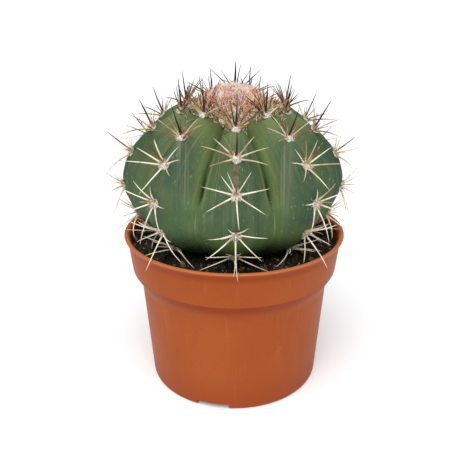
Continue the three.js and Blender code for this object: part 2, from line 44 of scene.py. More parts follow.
MM = 0.001
DEGREE = math.pi / 180
SEED = 20261

# Pot.
POT_HEIGHT = 92.7
RIM_RADIUS = 65
COLLAR_TOP_RADIUS = 62.7
COLLAR_TOP = 86.5
COLLAR_FOOT_RADIUS = 60.9
COLLAR_FOOT = 71.2
SHOULDER_FOOT_RADIUS = 55.9
SHOULDER_FOOT = 62.6
FOOT_RADIUS = 51.3
WALL = 1.5
POT_SEGMENTS = 216
NOTCH_COUNT = 3
NOTCH_AZIMUTH = -14 * DEGREE
NOTCH_WIDTH = 19
NOTCH_HEIGHT = 3.3
NOTCH_INNER = 38
DRAIN_RADIUS = 3.5
DRAIN_AT = 43.5

# Soil.
SOIL_LEVEL = 86
SOIL_CLEARANCE = 2.6

# Stem.
RIBS = 9
STEM_RADIUS = 62
WAIST = 127.8
CROWN_RISE = 43.4
FOOT_DROP = 50
ROUNDNESS = 1.84
FURROW_DEPTH = 13.5
FURROW_LOW_SHARE = 0.17
FURROW_FADE_FRONT = (112, 142)
FURROW_FADE_BACK = (97, 132)
SWOLLEN_SHARPNESS = 4
FURROW_CROWN_INNER = 8
FURROW_CROWN_OUTER = 24
CREST_SHARPNESS = 1.4
STEM_FOOT_ANGLE = -80 * DEGREE
LEAN = 5 * DEGREE
SIDE_LEAN = 1 * DEGREE
LEAN_PIVOT = 110
PLANT_SHIFT = -1.1
RIB_TURN = 1.6 * DEGREE
RIB_DRIFT = 2 * DEGREE

# Areoles and spines.
AREOLE_ARCS = [25, 43.5, 60.5, 81, 100, 117, 134]
AREOLES_PER_RIB = 6
RIB_SHIFT = [0.45, 0, 0.27, 0.6, 0.1, 0.5, 0.35, 0.27, 0]
FRONT_STRETCH = 7
FRONT_STRETCH_ARC = 110
LOWEST_AREOLE = 91
SPINE_ARCS = [34, 50, 71, 93]
# Kind, sides, distance of the root from the areole's middle, and lift off the skin. Then, at
# the four distances down the rib above, angle from the way up the rib and length.
SPINE_KINDS = [
    ("upper", (1, -1), 1.9, 27, [40, 53, 33, 22], [15, 12, 12.5, 13]),
    ("side", (1, -1), 1.9, 24, [66, 86, 74, 72], [17, 17, 16.5, 16]),
    ("lower", (1, -1), 1.9, 24, [92, 117, 119, 126], [16, 16, 17, 18]),
    ("crown", (1, -1), 0.9, 42, [17, 17, 17, 17], [14, 0, 0, 0]),
    ("down", (1,), 1.9, 24, [180, 180, 180, 180], [0, 3, 16, 23]),
    ("central", (1,), 0.7, 75, [0, 0, 0, 0], [16.5, 18, 14.5, 4]),
]
SPINES = [(kind, turn, *rest) for kind, turns, *rest in SPINE_KINDS for turn in turns]
SHORTEST_SPINE = 2.5
YOUNG_ARC = 46
ROOT_HEIGHT = 1.05
LOW_FROM = 120
LOW_TO = 98
LOW_RISE = 1
ANGLE_JITTER = 6
LIFT_JITTER = 5
LENGTH_JITTER = 0.1
CLEAR_STEPS = 16
LIFT_STEP = 5
SPREAD_STEP = 4
SPREAD_STEPS = 3
SHORTEN_FROM = 9
SHORTEN_STEP = 0.07
SPINE_CLEARANCE = 1.25
PAD_CLEARANCE = 4.2
RIM_CLEARANCE = 1.2
SPINE_SAMPLES = 12
FIRST_SAMPLE = 2

# Cephalium.
CAP_CENTRE = 167.6
CAP_RADIUS = 15.6
CAP_RISE = 8.6
CAP_CLEAR_RADIUS = 21
CAP_CLEAR_RISE = 12.6


# Repeatable draws and noise.

# Each number of a draw is multiplied by its own factor before they are joined.
FACTORS = (374761393, 668265263, 1442695041)
LOW_BITS = 0xFFFFFFFF


def scrambled(h):
    """A value from -1 to 1 for each whole number, from its 32 low bits."""
    h = h & LOW_BITS
    h = ((h ^ (h >> 15)) * 2246822519) & LOW_BITS
    h = ((h ^ (h >> 13)) * 3266489917) & LOW_BITS
    return (h ^ (h >> 16)) / 2147483648 - 1


def draw(*numbers):
    """A repeatable draw between -1 and 1 for three whole numbers, the same as in the solids."""
    h = SEED
    for number, factor in zip(numbers, FACTORS):
        h ^= (number + 1) * factor
    return scrambled(h)


def noise(points, size, seed):
    """Smooth noise from -1 to 1 with features of about the given size."""
    scaled = np.asarray(points, float) / size + 1000
    cell = np.floor(scaled).astype(np.uint64)
    share = smoothstep(0, 1, scaled - cell)
    total = 0
    for corner in np.ndindex(2, 2, 2):
        weight = np.where(corner, share, 1 - share).prod(-1)
        at = (cell + np.array(corner, np.uint64)) * np.array(FACTORS, np.uint64)
        total = total + weight * scrambled(at.sum(-1) + np.uint64(seed * 9176 + 77))
    return total


def bumps(points, layers):
    """Noise in layers, each with its own height, size of features and seed."""
    return sum(height * noise(points, size, seed) for height, size, seed in layers)


def clamp01(x):
    return min(1.0, max(0.0, x))


def mix(a, b, share):
    return a + (b - a) * share


def smoothstep(low, high, x):
    s = np.clip((np.asarray(x, float) - low) / (high - low), 0, 1)
    return s * s * (3 - 2 * s)


def unit(v):
    return v / np.linalg.norm(v, axis=-1, keepdims=True)


def around(turn, r, z):
    """Points or directions at an azimuth, by their parts away from the axis and up."""
    return np.stack(np.broadcast_arrays(r * np.sin(turn), -r * np.cos(turn), z), -1)


def circle(count):
    """Even steps of azimuth all round."""
    return 2 * np.pi * np.arange(count) / count


# Pieces.

def piece(name, vertices, faces, materials, attributes=None, face_materials=None, flat=False):
    """A mesh object from points in millimetres."""
    mesh = bpy.data.meshes.new(name)
    mesh.from_pydata((np.asarray(vertices) * MM).tolist(), [], faces)
    for key, values in (attributes or {}).items():
        values = np.asarray(values, np.float32)
        kind, field = ("FLOAT", "value") if values.ndim == 1 else ("FLOAT_VECTOR", "vector")
        mesh.attributes.new(key, kind, "POINT").data.foreach_set(field, values.ravel())
    for material in materials:
        mesh.materials.append(material)
    if face_materials is not None:
        mesh.polygons.foreach_set("material_index", np.asarray(face_materials, np.int32))
    mesh.polygons.foreach_set("use_smooth", np.full(len(mesh.polygons), not flat))
    mesh.update()
    made = bpy.data.objects.new(name, mesh)
    bpy.context.scene.collection.objects.link(made)
    return made


def dress(made, nodes):
    """Sets a piece on the plant's one body, in place of its nodes."""
    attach(made, "root")
    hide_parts(*nodes)


def joined(parts):
    """Joins (vertices, faces, attributes) parts into one."""
    vertices, faces, attributes, start = [], [], {}, 0
    for part_vertices, part_faces, part_attributes in parts:
        vertices.append(part_vertices)
        faces.extend([[i + start for i in face] for face in part_faces])
        for key, values in part_attributes.items():
            attributes.setdefault(key, []).append(values)
        start += len(part_vertices)
    return np.concatenate(vertices), faces, {k: np.concatenate(v) for k, v in attributes.items()}


def ring_faces(count, rows, start, end):
    """Faces over rows of rings, from the point start below them to the point end above."""
    faces = []
    top = (rows - 1) * count
    for k in range(count):
        after = (k + 1) % count
        faces.append([start, after, k])
        for row in range(rows - 1):
            a, b = row * count + k, row * count + after
            faces.append([a, b, b + count, a + count])
        faces.append([top + k, top + after, end])
    return faces


def stacked(rings, start, end, downwards=False):
    """A closed body through rings, which begins and ends at two heights on the axis."""
    vertices = np.concatenate([*rings, [[0, 0, start], [0, 0, end]]])
    faces = ring_faces(len(rings[0]), len(rings), len(vertices) - 2, len(vertices) - 1)
    if downwards:
        faces = [[face[0], *face[:0:-1]] for face in faces]
    return vertices, faces


def repeated(faces, count, each):
    """The faces of count bodies that have the same number of points each."""
    return [[i + n * each for i in face] for n in range(count) for face in faces]


# The side that a straight needle is taken to bend to, and the bend below which it is straight.
SPARE_SIDE = (0.31, 0.77, 0.55)
STRAIGHT_LIMIT = 1e-3
# How far up a needle its thickened root goes, against its length.
SWELL_LENGTH = 0.12


def tubes(starts, middles, ends, radii, sides, rings, point, swell=0.0):
    """Closed curved needles, each from its root to a sharp tip by way of a middle point."""
    starts, middles, ends = (np.asarray(p, float) for p in (starts, middles, ends))
    radii = np.asarray(radii, float)
    count = len(starts)
    t = (np.arange(rings) / rings)[None, :, None]
    line = (1 - t) ** 2 * starts[:, None] + 2 * t * (1 - t) * middles[:, None] + t ** 2 * ends[:, None]
    tangent = unit((1 - t) * (middles - starts)[:, None] + t * (ends - middles)[:, None])
    bend = np.cross(middles - starts, ends - middles)
    spare = np.cross(ends - starts, np.array(SPARE_SIDE))
    weak = np.linalg.norm(bend, axis=1) < STRAIGHT_LIMIT * np.linalg.norm(ends - starts, axis=1) ** 2
    across = unit(np.where(weak[:, None], spare, bend))[:, None]
    across = unit(across - tangent * (across * tangent).sum(-1, keepdims=True))
    normal = np.cross(across, tangent)
    taper = (1 - t) ** point + swell * np.exp(-((t / SWELL_LENGTH) ** 2))
    angle = circle(sides)
    ring = np.cos(angle)[:, None] * normal[:, :, None] + np.sin(angle)[:, None] * across[:, :, None]
    body = line[:, :, None] + ring * (radii[:, None, None] * taper)[:, :, None]
    vertices = np.concatenate([body.reshape(count, -1, 3), starts[:, None], ends[:, None]], axis=1)
    each = rings * sides + 2
    faces = repeated(ring_faces(sides, rings, each - 2, each - 1), count, each)
    along = np.concatenate([np.repeat(t[0, :, 0], sides), [0, 1]])
    return vertices.reshape(-1, 3), faces, {"along": np.tile(along, count)}


# Node materials.

class Shader:
    """A short way to write a node material. Colours are screen values from 0 to 255."""

    def __init__(self, name, roughness=0.5, specular=0.5, sheen=0.0, scatter=()):
        self.material = bpy.data.materials.new(name)
        self.material.use_nodes = True
        self.tree = self.material.node_tree
        self.surface = self.tree.nodes["Principled BSDF"]
        self.surface.inputs["Roughness"].default_value = roughness
        self.surface.inputs["Specular IOR Level"].default_value = specular
        self.surface.inputs["Sheen Weight"].default_value = sheen
        for key, value in zip(("Weight", "Radius", "Scale"), scatter):
            self.surface.inputs[f"Subsurface {key}"].default_value = value
        self.colour = None

    def put(self, socket, value):
        if isinstance(value, bpy.types.NodeSocket):
            self.tree.links.new(value, socket)
        elif hasattr(socket.default_value, "__len__") and len(socket.default_value) == 4:
            socket.default_value = (*srgb(*value), 1)
        else:
            socket.default_value = value

    def add(self, kind, inputs, output=0, **settings):
        node = self.tree.nodes.new(kind)
        for key, value in settings.items():
            setattr(node, key, value)
        for key, value in inputs.items():
            self.put(node.inputs[key], value)
        return node.outputs[output]

    def attribute(self, name, output="Fac"):
        return self.add("ShaderNodeAttribute", {}, output, attribute_name=name)

    def place(self):
        return self.add("ShaderNodeTexCoord", {}, "Object")

    def math(self, operation, a, b, clamp=False):
        return self.add("ShaderNodeMath", {0: a, 1: b}, operation=operation, use_clamp=clamp)

    def times(self, a, b, clamp=False):
        return self.math("MULTIPLY", a, b, clamp)

    def plus(self, a, b):
        return self.math("ADD", a, b)

    def span(self, value, low, high):
        """0 below low, 1 above high, and smooth between them."""
        inputs = {"Value": value, "From Min": low, "From Max": high}
        return self.add("ShaderNodeMapRange", inputs, interpolation_type="SMOOTHSTEP")

    def band(self, value, a, b, c, d):
        """Rises from 0 to 1 between a and b, and falls back between c and d."""
        return self.times(self.span(value, a, b), self.span(value, d, c))

    def noise(self, vector, scale, detail, roughness=0.55):
        inputs = {"Vector": vector, "Scale": scale, "Detail": detail, "Roughness": roughness}
        return self.add("ShaderNodeTexNoise", inputs)

    def spots(self, vector, scale, detail, low, high, roughness=0.55):
        """Patches of noise: 0 where it is below low, 1 where it is above high."""
        return self.span(self.noise(vector, scale, detail, roughness), low, high)

    def frayed(self, value, vector, scale, detail):
        """A value with noise added, so that its edge comes out uneven."""
        centred = self.math("SUBTRACT", self.noise(vector, scale, detail), 0.5)
        return self.plus(value, self.times(centred, 0.9))

    def cells(self, vector, scale):
        return self.add("ShaderNodeTexVoronoi", {"Vector": vector, "Scale": scale})

    def stretched(self, vector, x, y, z):
        return self.add("ShaderNodeMapping", {"Vector": vector, "Scale": (x, y, z)})

    def blend(self, share, a, b):
        node = self.tree.nodes.new("ShaderNodeMix")
        node.data_type = "RGBA"
        for index, value in ((0, share), (6, a), (7, b)):
            self.put(node.inputs[index], value)
        return node.outputs[2]

    def ramp(self, value, colour, *stops):
        """Goes on to the colour of each stop as the value passes from its low to its high."""
        for low, high, tone in stops:
            colour = self.blend(self.span(value, low, high), colour, tone)
        return colour

    def tint(self, share, amount, tone):
        """Blends a tone over the colour so far."""
        self.colour = self.blend(self.times(share, amount), self.colour, tone)

    def bump(self, height, distance, strength):
        inputs = {"Height": height, "Distance": distance, "Strength": strength}
        self.put(self.surface.inputs["Normal"], self.add("ShaderNodeBump", inputs))

    def finish(self, roughness=None):
        self.put(self.surface.inputs["Base Color"], self.colour)
        if roughness is not None:
            self.put(self.surface.inputs["Roughness"], roughness)
        return self.material


def srgb(r, g, b):
    """A screen colour as linear values from 0 to 1."""
    return tuple((c / 255 / 12.92) if c <= 10.3 else ((c / 255 + 0.055) / 1.055) ** 2.4 for c in (r, g, b))


# Heights in metres between which the pot's colour rises and falls: painted shade and a painted highlight.
UNDER_COLLAR_SHADE = (0.0615, 0.0695, 0.0710, 0.0716)
UNDER_LIP_SHADE = (0.0850, 0.0890, 0.0906, 0.0913)
LIP_HIGHLIGHT = (0.0914, 0.0922)
FOOT_SHADE = (0.026, 0.002)


def pot_material():
    s = Shader("pot_plastic", specular=0.1)
    place = s.place()
    height = s.add("ShaderNodeSeparateXYZ", {"Vector": place}, "Z")
    cloud = s.noise(place, 22, 3)
    streak = s.noise(s.stretched(place, 260, 260, 9), 1, 3)
    s.colour = s.ramp(cloud, (168, 83, 37), (0.35, 0.7, (162, 78, 33)))
    s.tint(s.span(streak, 0.58, 0.76), 0.12, (200, 124, 80))
    s.tint(s.spots(place, 90, 5, 0.6, 0.8, 0.7), 0.16, (208, 156, 118))
    s.tint(s.spots(place, 620, 3, 0.5, 0.72, 0.7), 0.16, (140, 58, 22))
    # Deeper in colour under the collar and under the lip as painted shade, paler on the lip's edge as a
    # painted highlight, and darker towards the foot as painted shade.
    s.tint(s.band(height, *UNDER_COLLAR_SHADE), 0.95, (146, 58, 20))
    s.tint(s.band(height, *UNDER_LIP_SHADE), 0.7, (146, 60, 22))
    s.tint(s.span(height, *LIP_HIGHLIGHT), 0.5, (206, 130, 86))
    s.tint(s.span(height, *FOOT_SHADE), 0.7, (150, 66, 28))
    s.bump(s.plus(s.times(s.noise(place, 900, 3), 0.6), streak), 0.00016, 0.5)
    return s.finish(s.plus(s.times(cloud, 0.12), 0.42))


def soil_material():
    s = Shader("soil_peat", roughness=0.95, specular=0.25)
    place = s.place()
    lumps = s.noise(place, 420, 5, 0.7)
    s.colour = s.ramp(lumps, (22, 16, 13), (0.35, 0.7, (58, 42, 33)))
    s.tint(s.spots(place, 150, 3, 0.6, 0.72), 0.5, (52, 62, 36))
    s.bump(lumps, 0.0008, 0.8)
    return s.finish()


def crumb_material():
    """Crumbs take their colour from the attribute kind: peat, bark, or pale grit."""
    s = Shader("soil_crumb", roughness=0.9, specular=0.25)
    tone = s.attribute("tone")
    peat = s.blend(tone, (24, 18, 15), (64, 50, 40))
    peat = s.ramp(tone, peat, (0.84, 0.9, (58, 66, 38)))
    bark = s.blend(tone, (72, 56, 42), (132, 112, 88))
    grit = s.blend(tone, (120, 114, 102), (204, 200, 190))
    colour = s.ramp(s.attribute("kind"), peat, (0.4, 0.6, bark), (1.4, 1.6, grit))
    fine = s.noise(s.place(), 1300, 3, 0.7)
    s.colour = s.ramp(fine, s.blend(0.45, colour, (14, 10, 8)), (0.35, 0.75, colour))
    s.bump(fine, 0.0004, 0.6)
    return s.finish()


def stem_material():
    """Arc is the distance down the rib, gap the distance from the nearest furrow."""
    s = Shader("stem_skin", roughness=0.55, specular=0.08, scatter=(0.04, (0.6, 1.0, 0.35), 0.002))
    place, flow = s.place(), s.attribute("flow", "Vector")
    arc, gap, scar = s.attribute("arc"), s.attribute("gap"), s.attribute("scar")
    s.colour = s.blend(s.spots(place, 45, 3, 0.3, 0.7), (70, 91, 60), (82, 101, 72))
    wide = s.noise(flow, 0.16, 3, 0.6)
    s.tint(s.span(wide, 0.42, 0.66), 0.65, (100, 117, 84))
    thin = s.noise(flow, 0.55, 3, 0.65)
    upper = s.plus(s.times(s.span(arc, 100, 76), 0.45), 0.1)
    s.tint(s.span(thin, 0.54, 0.7), upper, (138, 148, 118))
    s.tint(s.spots(flow, 0.33, 3, 0.52, 0.7, 0.6), 0.55, (52, 74, 46))
    # Painted shade, dark and bluish, near the crests, mostly on the side ribs, and yellower skin towards the
    # furrows.
    uneven = s.plus(s.times(s.noise(place, 75, 4, 0.6), 1.1), 0.1)
    s.tint(s.times(s.attribute("crest_shade"), uneven, clamp=True), 0.9, (50, 76, 58))
    fading = s.plus(s.times(s.span(arc, 96, 76), 0.4), 0.28)
    young = s.ramp(arc, (84, 107, 54), (64, 44, (108, 130, 68)))
    s.tint(s.span(s.attribute("across"), 0.5, 0.92), fading, young)
    s.tint(s.spots(place, 40, 4, 0.52, 0.64, 0.6), 0.32, (100, 102, 66))
    s.tint(s.spots(place, 95, 4, 0.52, 0.66, 0.65), 0.4, (58, 84, 70))
    # Pale greyish stripes that run straight down beside the front furrows.
    fine_lines = s.spots(s.stretched(place, 620, 20, 7), 1, 2, 0.46, 0.6, 0.7)
    s.tint(s.times(s.attribute("stripe"), fine_lines), 0.42, (142, 142, 116))
    # Pale edges: a painted highlight along each rib beside the furrow.
    s.tint(s.attribute("edge"), 0.7, (140, 140, 106))
    # A deeper line in each furrow high up and a dark slit where it ends, both painted shade, and a pale line
    # below.
    s.tint(s.times(s.span(gap, 2.0, 0.3), s.span(arc, 78, 66)), 0.7, (46, 78, 32))
    s.tint(s.times(s.span(gap, 0.8, 0.2), s.band(arc, 54, 66, 75, 83)), 0.85, (20, 34, 14))
    s.tint(s.times(s.span(gap, 0.6, 0.15), s.band(arc, 84, 90, 100, 108)), 0.35, (150, 166, 116))
    # A brown line of old bark along the crest between the upper areoles.
    crest = s.span(s.frayed(s.attribute("bark"), flow, 1.6, 3), 0.35, 0.75)
    s.tint(crest, 0.75, (122, 98, 74))
    s.tint(s.times(crest, s.spots(place, 330, 3, 0.5, 0.4)), 0.7, (70, 72, 44))
    # The crown is paler and yellower, the flanks low down fresher green, the foot dark with painted shade.
    s.tint(s.span(arc, 52, 24), 0.65, (124, 138, 86))
    s.tint(s.times(s.span(arc, 80, 96), s.spots(place, 42, 4, 0.4, 0.6, 0.6)), 0.65, (78, 106, 56))
    s.tint(s.times(s.span(arc, 80, 92), s.spots(place, 58, 4, 0.5, 0.66, 0.6)), 0.4, (64, 72, 58))
    s.tint(s.span(arc, 94, 117), 0.9, (38, 52, 25))
    s.tint(s.times(s.span(arc, 122, 134), s.spots(place, 160, 4, 0.4, 0.62)), 1, (78, 70, 46))
    # Corky scars, pale flecks, short pale strokes and pores.
    s.tint(s.span(s.frayed(scar, place, 520, 4), 0.5, 1.0), 0.7, (122, 106, 76))
    flecks = s.span(s.cells(place, 420), 0.17, 0.08)
    s.tint(s.times(flecks, s.spots(place, 60, 2, 0.52, 0.66)), 0.32, (180, 192, 166))
    strokes = s.span(s.cells(s.stretched(flow, 0.42, 0.42, 3.2), 1), 0.2, 0.07)
    s.tint(s.times(strokes, s.spots(place, 52, 2, 0.4, 0.58)), 0.4, (154, 172, 152))
    pores = s.cells(place, 1500)
    s.tint(s.span(pores, 0.3, 0.12), 0.2, (146, 160, 124))
    height = s.plus(s.times(thin, 0.5), s.times(pores, 0.12))
    s.bump(s.plus(height, s.times(scar, 0.6)), 0.0005, 0.5)
    return s.finish(s.plus(s.times(wide, 0.25), 0.4))


def spine_material():
    """Age 0 is a dark young spine and 1 a straw-coloured old one."""
    s = Shader("spine_horn", roughness=0.5, specular=0.3, scatter=(0.08, (1.0, 0.7, 0.4), 0.001))
    place = s.place()
    along, age, tone = s.attribute("along"), s.attribute("age"), s.attribute("tone")
    at = s.plus(along, s.times(s.math("SUBTRACT", tone, 0.5), 0.3))
    dark = s.ramp(along, (96, 64, 46), (0.0, 0.25, (40, 30, 28)), (0.7, 1.0, (70, 56, 52)))
    red = s.ramp(at, (176, 150, 102), (0.05, 0.35, (118, 70, 50)), (0.5, 0.9, (66, 44, 40)))
    tan = s.ramp(at, (222, 208, 162), (0.05, 0.4, (178, 126, 92)), (0.55, 0.85, (206, 182, 146)))
    s.colour = s.ramp(along, (226, 214, 180), (0.0, 0.3, (246, 241, 220)))
    s.tint(s.span(along, 0.72, 1.0), 0.45, (204, 172, 146))
    mottle = s.plus(s.noise(place, 260, 3, 0.6), s.times(tone, 0.2))
    s.tint(s.span(mottle, 0.6, 0.74), 0.5, (192, 148, 110))
    s.colour = s.ramp(age, dark, (0.06, 0.22, red), (0.34, 0.6, tan), (0.66, 0.9, s.colour))
    young = s.band(age, 0.08, 0.18, 0.4, 0.62)
    s.tint(s.times(s.spots(place, 190, 2, 0.56, 0.68), young), 0.75, (200, 176, 128))
    s.bump(s.noise(place, 1500, 2), 0.0001, 0.4)
    return s.finish()


def felt_material():
    """White felt, brown where the spines of an old areole come out of its upper half."""
    s = Shader("areole_felt", roughness=0.95, specular=0.1, sheen=0.3)
    place = s.place()
    s.colour = s.blend(s.attribute("tone"), (214, 204, 188), (250, 246, 238))
    brown = s.times(s.span(s.attribute("along"), 0.35, 0.75), s.spots(place, 480, 3, 0.42, 0.54))
    s.tint(s.times(brown, s.attribute("age")), 0.85, (120, 74, 54))
    s.tint(s.spots(place, 700, 3, 0.5, 0.75), 0.35, (182, 160, 130))
    s.bump(s.noise(place, 2400, 3), 0.0002, 0.6)
    return s.finish()


def wool_material():
    """Height 0 is the foot of the cap and 1 its top."""
    s = Shader("cephalium_wool", roughness=0.95, specular=0.1, sheen=0.3)
    place = s.place()
    tone, height = s.attribute("tone"), s.attribute("height")
    top = s.blend(tone, (232, 188, 166), (255, 250, 242))
    side = s.blend(tone, (226, 134, 98), (255, 230, 204))
    foot = s.blend(tone, (214, 174, 128), (255, 248, 230))
    s.colour = s.ramp(height, side, (0.5, 0.82, top), (0.42, 0.16, foot))
    s.tint(s.times(s.spots(place, 210, 3, 0.53, 0.64), s.span(height, 0.3, 0.5)), 0.8, (226, 104, 92))
    s.tint(s.times(s.spots(place, 300, 3, 0.55, 0.66), s.span(height, 0.86, 0.6)), 0.8, (126, 60, 42))
    s.tint(s.times(s.spots(place, 170, 2, 0.54, 0.64), s.span(height, 0.7, 0.5)), 0.6, (250, 236, 204))
    return s.finish()


def bristle_material():
    """Kind 0 is a pink bristle of the cap, 1 a stiff brown one of its foot, 2 a dark spine."""
    s = Shader("cephalium_bristle", roughness=0.5, specular=0.25)
    along, tone = s.attribute("along"), s.attribute("tone")
    pink = s.ramp(tone, (190, 74, 60), (0.0, 0.45, (232, 124, 108)), (0.45, 0.85, (252, 214, 194)))
    pink = s.blend(s.times(s.span(along, 0.7, 1.0), 0.3), pink, (150, 74, 58))
    brown = s.ramp(tone, (70, 36, 26), (0.1, 0.3, (172, 90, 58)), (0.3, 0.5, (222, 168, 112)),
                   (0.5, 0.75, (255, 242, 214)))
    brown = s.blend(s.times(s.span(along, 0.55, 1.0), 0.4), brown, (140, 84, 58))
    dark = s.ramp(along, (96, 62, 46), (0.0, 0.3, (48, 36, 34)))
    s.colour = s.ramp(s.attribute("kind"), pink, (0.4, 0.6, brown), (1.4, 1.6, dark))
    return s.finish()


# Pot.

# Radius, height and rounding of each corner of the wall's section.
POT_OUTSIDE = [
    (0, 0, 0),
    (FOOT_RADIUS - 1.0, 0, 1.4),
    (FOOT_RADIUS, 1.4, 1.2),
    (SHOULDER_FOOT_RADIUS, SHOULDER_FOOT, 3.2),
    (COLLAR_FOOT_RADIUS - 0.7, COLLAR_FOOT - 1.2, 0.9),
    (COLLAR_FOOT_RADIUS, COLLAR_FOOT, 1.0),
    (COLLAR_TOP_RADIUS, COLLAR_TOP, 2.4),
    (COLLAR_TOP_RADIUS + 0.9, COLLAR_TOP + 3.2, 1.5),
    (RIM_RADIUS - 0.4, POT_HEIGHT - 1.5, 0.5),
    (RIM_RADIUS, POT_HEIGHT - 0.9, 0.5),
    (RIM_RADIUS - 0.3, POT_HEIGHT - 0.05, 0.45),
]
# The part of the inside that the soil lies against, from the bottom up.
POT_INSIDE = [
    (FOOT_RADIUS - WALL - 1.6, WALL, 1),
    (FOOT_RADIUS - WALL, 3.1, 1),
    (SHOULDER_FOOT_RADIUS - WALL, SHOULDER_FOOT + 0.4, 1),
    (COLLAR_FOOT_RADIUS - WALL, COLLAR_FOOT + 0.6, 1),
]
POT_BRIM = [(COLLAR_TOP_RADIUS + 0.3, POT_HEIGHT, 0.5), (COLLAR_TOP_RADIUS - WALL, POT_HEIGHT - 2.2, 1.2)]
ROUNDING_STEPS = 5
# Most of a side that the rounding of one of its corners may use up.
ROUNDING_SHARE = 0.48
# Radius and height of a body that fills the pot's foot, and of the tool for a drain hole.
FOOT_FILLING = [(0, 0.2), (FOOT_RADIUS - 0.8, 0.2), (FOOT_RADIUS + 0.1, 8), (0, 8)]
DRAIN_TOOL = [(0, -1), (DRAIN_RADIUS, -1), (DRAIN_RADIUS, 8), (0, 8)]
DRAIN_SEGMENTS = 32
CUT_MARGIN = 6
SHARP_EDGE = 32 * DEGREE


def rounded(corners):
    """A profile whose corners are softened."""
    line = [corners[0][:2]]
    for before, (r, z, rounding), after in zip(corners, corners[1:], corners[2:]):
        here = np.array([r, z], float)
        ways = [np.array(other[:2], float) - here for other in (before, after)]
        cuts = [min(rounding, ROUNDING_SHARE * np.linalg.norm(way)) for way in ways]
        first, last = (here + unit(way) * cut for way, cut in zip(ways, cuts))
        for t in np.linspace(0, 1, ROUNDING_STEPS):
            line.append(tuple((1 - t) ** 2 * first + 2 * t * (1 - t) * here + t * t * last))
    return [*line, corners[-1][:2]]


def lathe(line, segments):
    """A closed body turned from (radius, height) points that start and end on the axis."""
    rings = [around(circle(segments), r, z) for r, z in line if r > 0]
    return stacked(rings, line[0][1], line[-1][1])


def block(width, inner, bottom, top, azimuth):
    """A box that runs outwards across the foot at an azimuth."""
    x, y = width / 2, (-inner, -(FOOT_RADIUS + CUT_MARGIN))
    corners = np.array([[sx * x, sy, sz] for sx in (-1, 1) for sy in y for sz in (bottom, top)], float)
    turn = np.array(Matrix.Rotation(azimuth, 3, "Z"))
    faces = [[0, 2, 3, 1], [4, 5, 7, 6], [0, 1, 5, 4], [2, 6, 7, 3], [0, 4, 6, 2], [1, 3, 7, 5]]
    return corners @ turn.T, faces


def combine(base, tool, operation):
    """Applies one boolean to the base object, and removes the tool."""
    modifier = base.modifiers.new("cut", "BOOLEAN")
    modifier.object = tool
    modifier.operation = operation
    modifier.solver = "EXACT"
    graph = bpy.context.evaluated_depsgraph_get()
    mesh = bpy.data.meshes.new_from_object(base.evaluated_get(graph))
    base.modifiers.clear()
    old = base.data
    base.data = mesh
    bpy.data.meshes.remove(old)
    bpy.data.objects.remove(tool)


def make_pot(material):
    section = rounded([*POT_OUTSIDE, *POT_BRIM, *reversed(POT_INSIDE), (0, WALL, 0)])
    pot = piece("pot_shell", *lathe(section, POT_SEGMENTS), [material])
    for k in range(NOTCH_COUNT):
        azimuth = NOTCH_AZIMUTH + 2 * math.pi * k / NOTCH_COUNT
        roof = block(NOTCH_WIDTH + 2 * WALL, NOTCH_INNER - WALL, WALL / 2, NOTCH_HEIGHT + WALL, azimuth)
        roof = piece("roof", *roof, [material])
        combine(roof, piece("filling", *lathe(FOOT_FILLING, POT_SEGMENTS), [material]), "INTERSECT")
        combine(pot, roof, "UNION")
        gap = block(NOTCH_WIDTH, NOTCH_INNER, -WALL, NOTCH_HEIGHT, azimuth)
        combine(pot, piece("gap", *gap, [material]), "DIFFERENCE")
        vertices, faces = lathe(DRAIN_TOOL, DRAIN_SEGMENTS)
        drain = piece("drain", vertices + around(azimuth, DRAIN_AT, 0), faces, [material])
        combine(pot, drain, "DIFFERENCE")
    pot.data.polygons.foreach_set("use_smooth", np.full(len(pot.data.polygons), True))
    pot.data.set_sharp_from_angle(angle=SHARP_EDGE)
    dress(pot, ["pot"])


# The plant's own frame.

def planted(points):
    """Points of the upright plant, leant and set in the pot."""
    pivot = np.array([0, 0, LEAN_PIVOT])
    turn = np.array(Matrix.Rotation(LEAN, 3, "X") @ Matrix.Rotation(SIDE_LEAN, 3, "Y"))
    return (np.asarray(points, float) - pivot) @ turn.T + pivot + np.array([PLANT_SHIFT, 0, 0])


def crest_point(angle):
    side = abs(math.cos(angle)) ** (2 / ROUNDNESS)
    rise = math.copysign(abs(math.sin(angle)) ** (2 / ROUNDNESS), angle)
    return STEM_RADIUS * side, WAIST + (CROWN_RISE if angle > 0 else FOOT_DROP) * rise


def make_crest_line():
    """Rows of radius, height, arc from the crown, and the normal's two parts."""
    step = 0.25 * DEGREE
    angle, line = math.pi / 2 - 1e-6, []
    while angle > STEM_FOOT_ANGLE:
        r, z = crest_point(angle)
        above, below = crest_point(angle + step / 2), crest_point(angle - step / 2)
        chord = math.hypot(above[0] - below[0], above[1] - below[1])
        arc = line[-1][2] + math.hypot(r - line[-1][0], z - line[-1][1]) if line else 0.0
        line.append((r, z, arc, (above[1] - below[1]) / chord, (below[0] - above[0]) / chord))
        angle -= step
    return np.array(line)


CREST = make_crest_line()


def rib_azimuth(rib):
    even = rib * 2 * math.pi / RIBS
    return RIB_TURN + even + RIB_DRIFT * np.sin(2 * even)


# Areoles, placed and cleared by the same rule as in the solids.

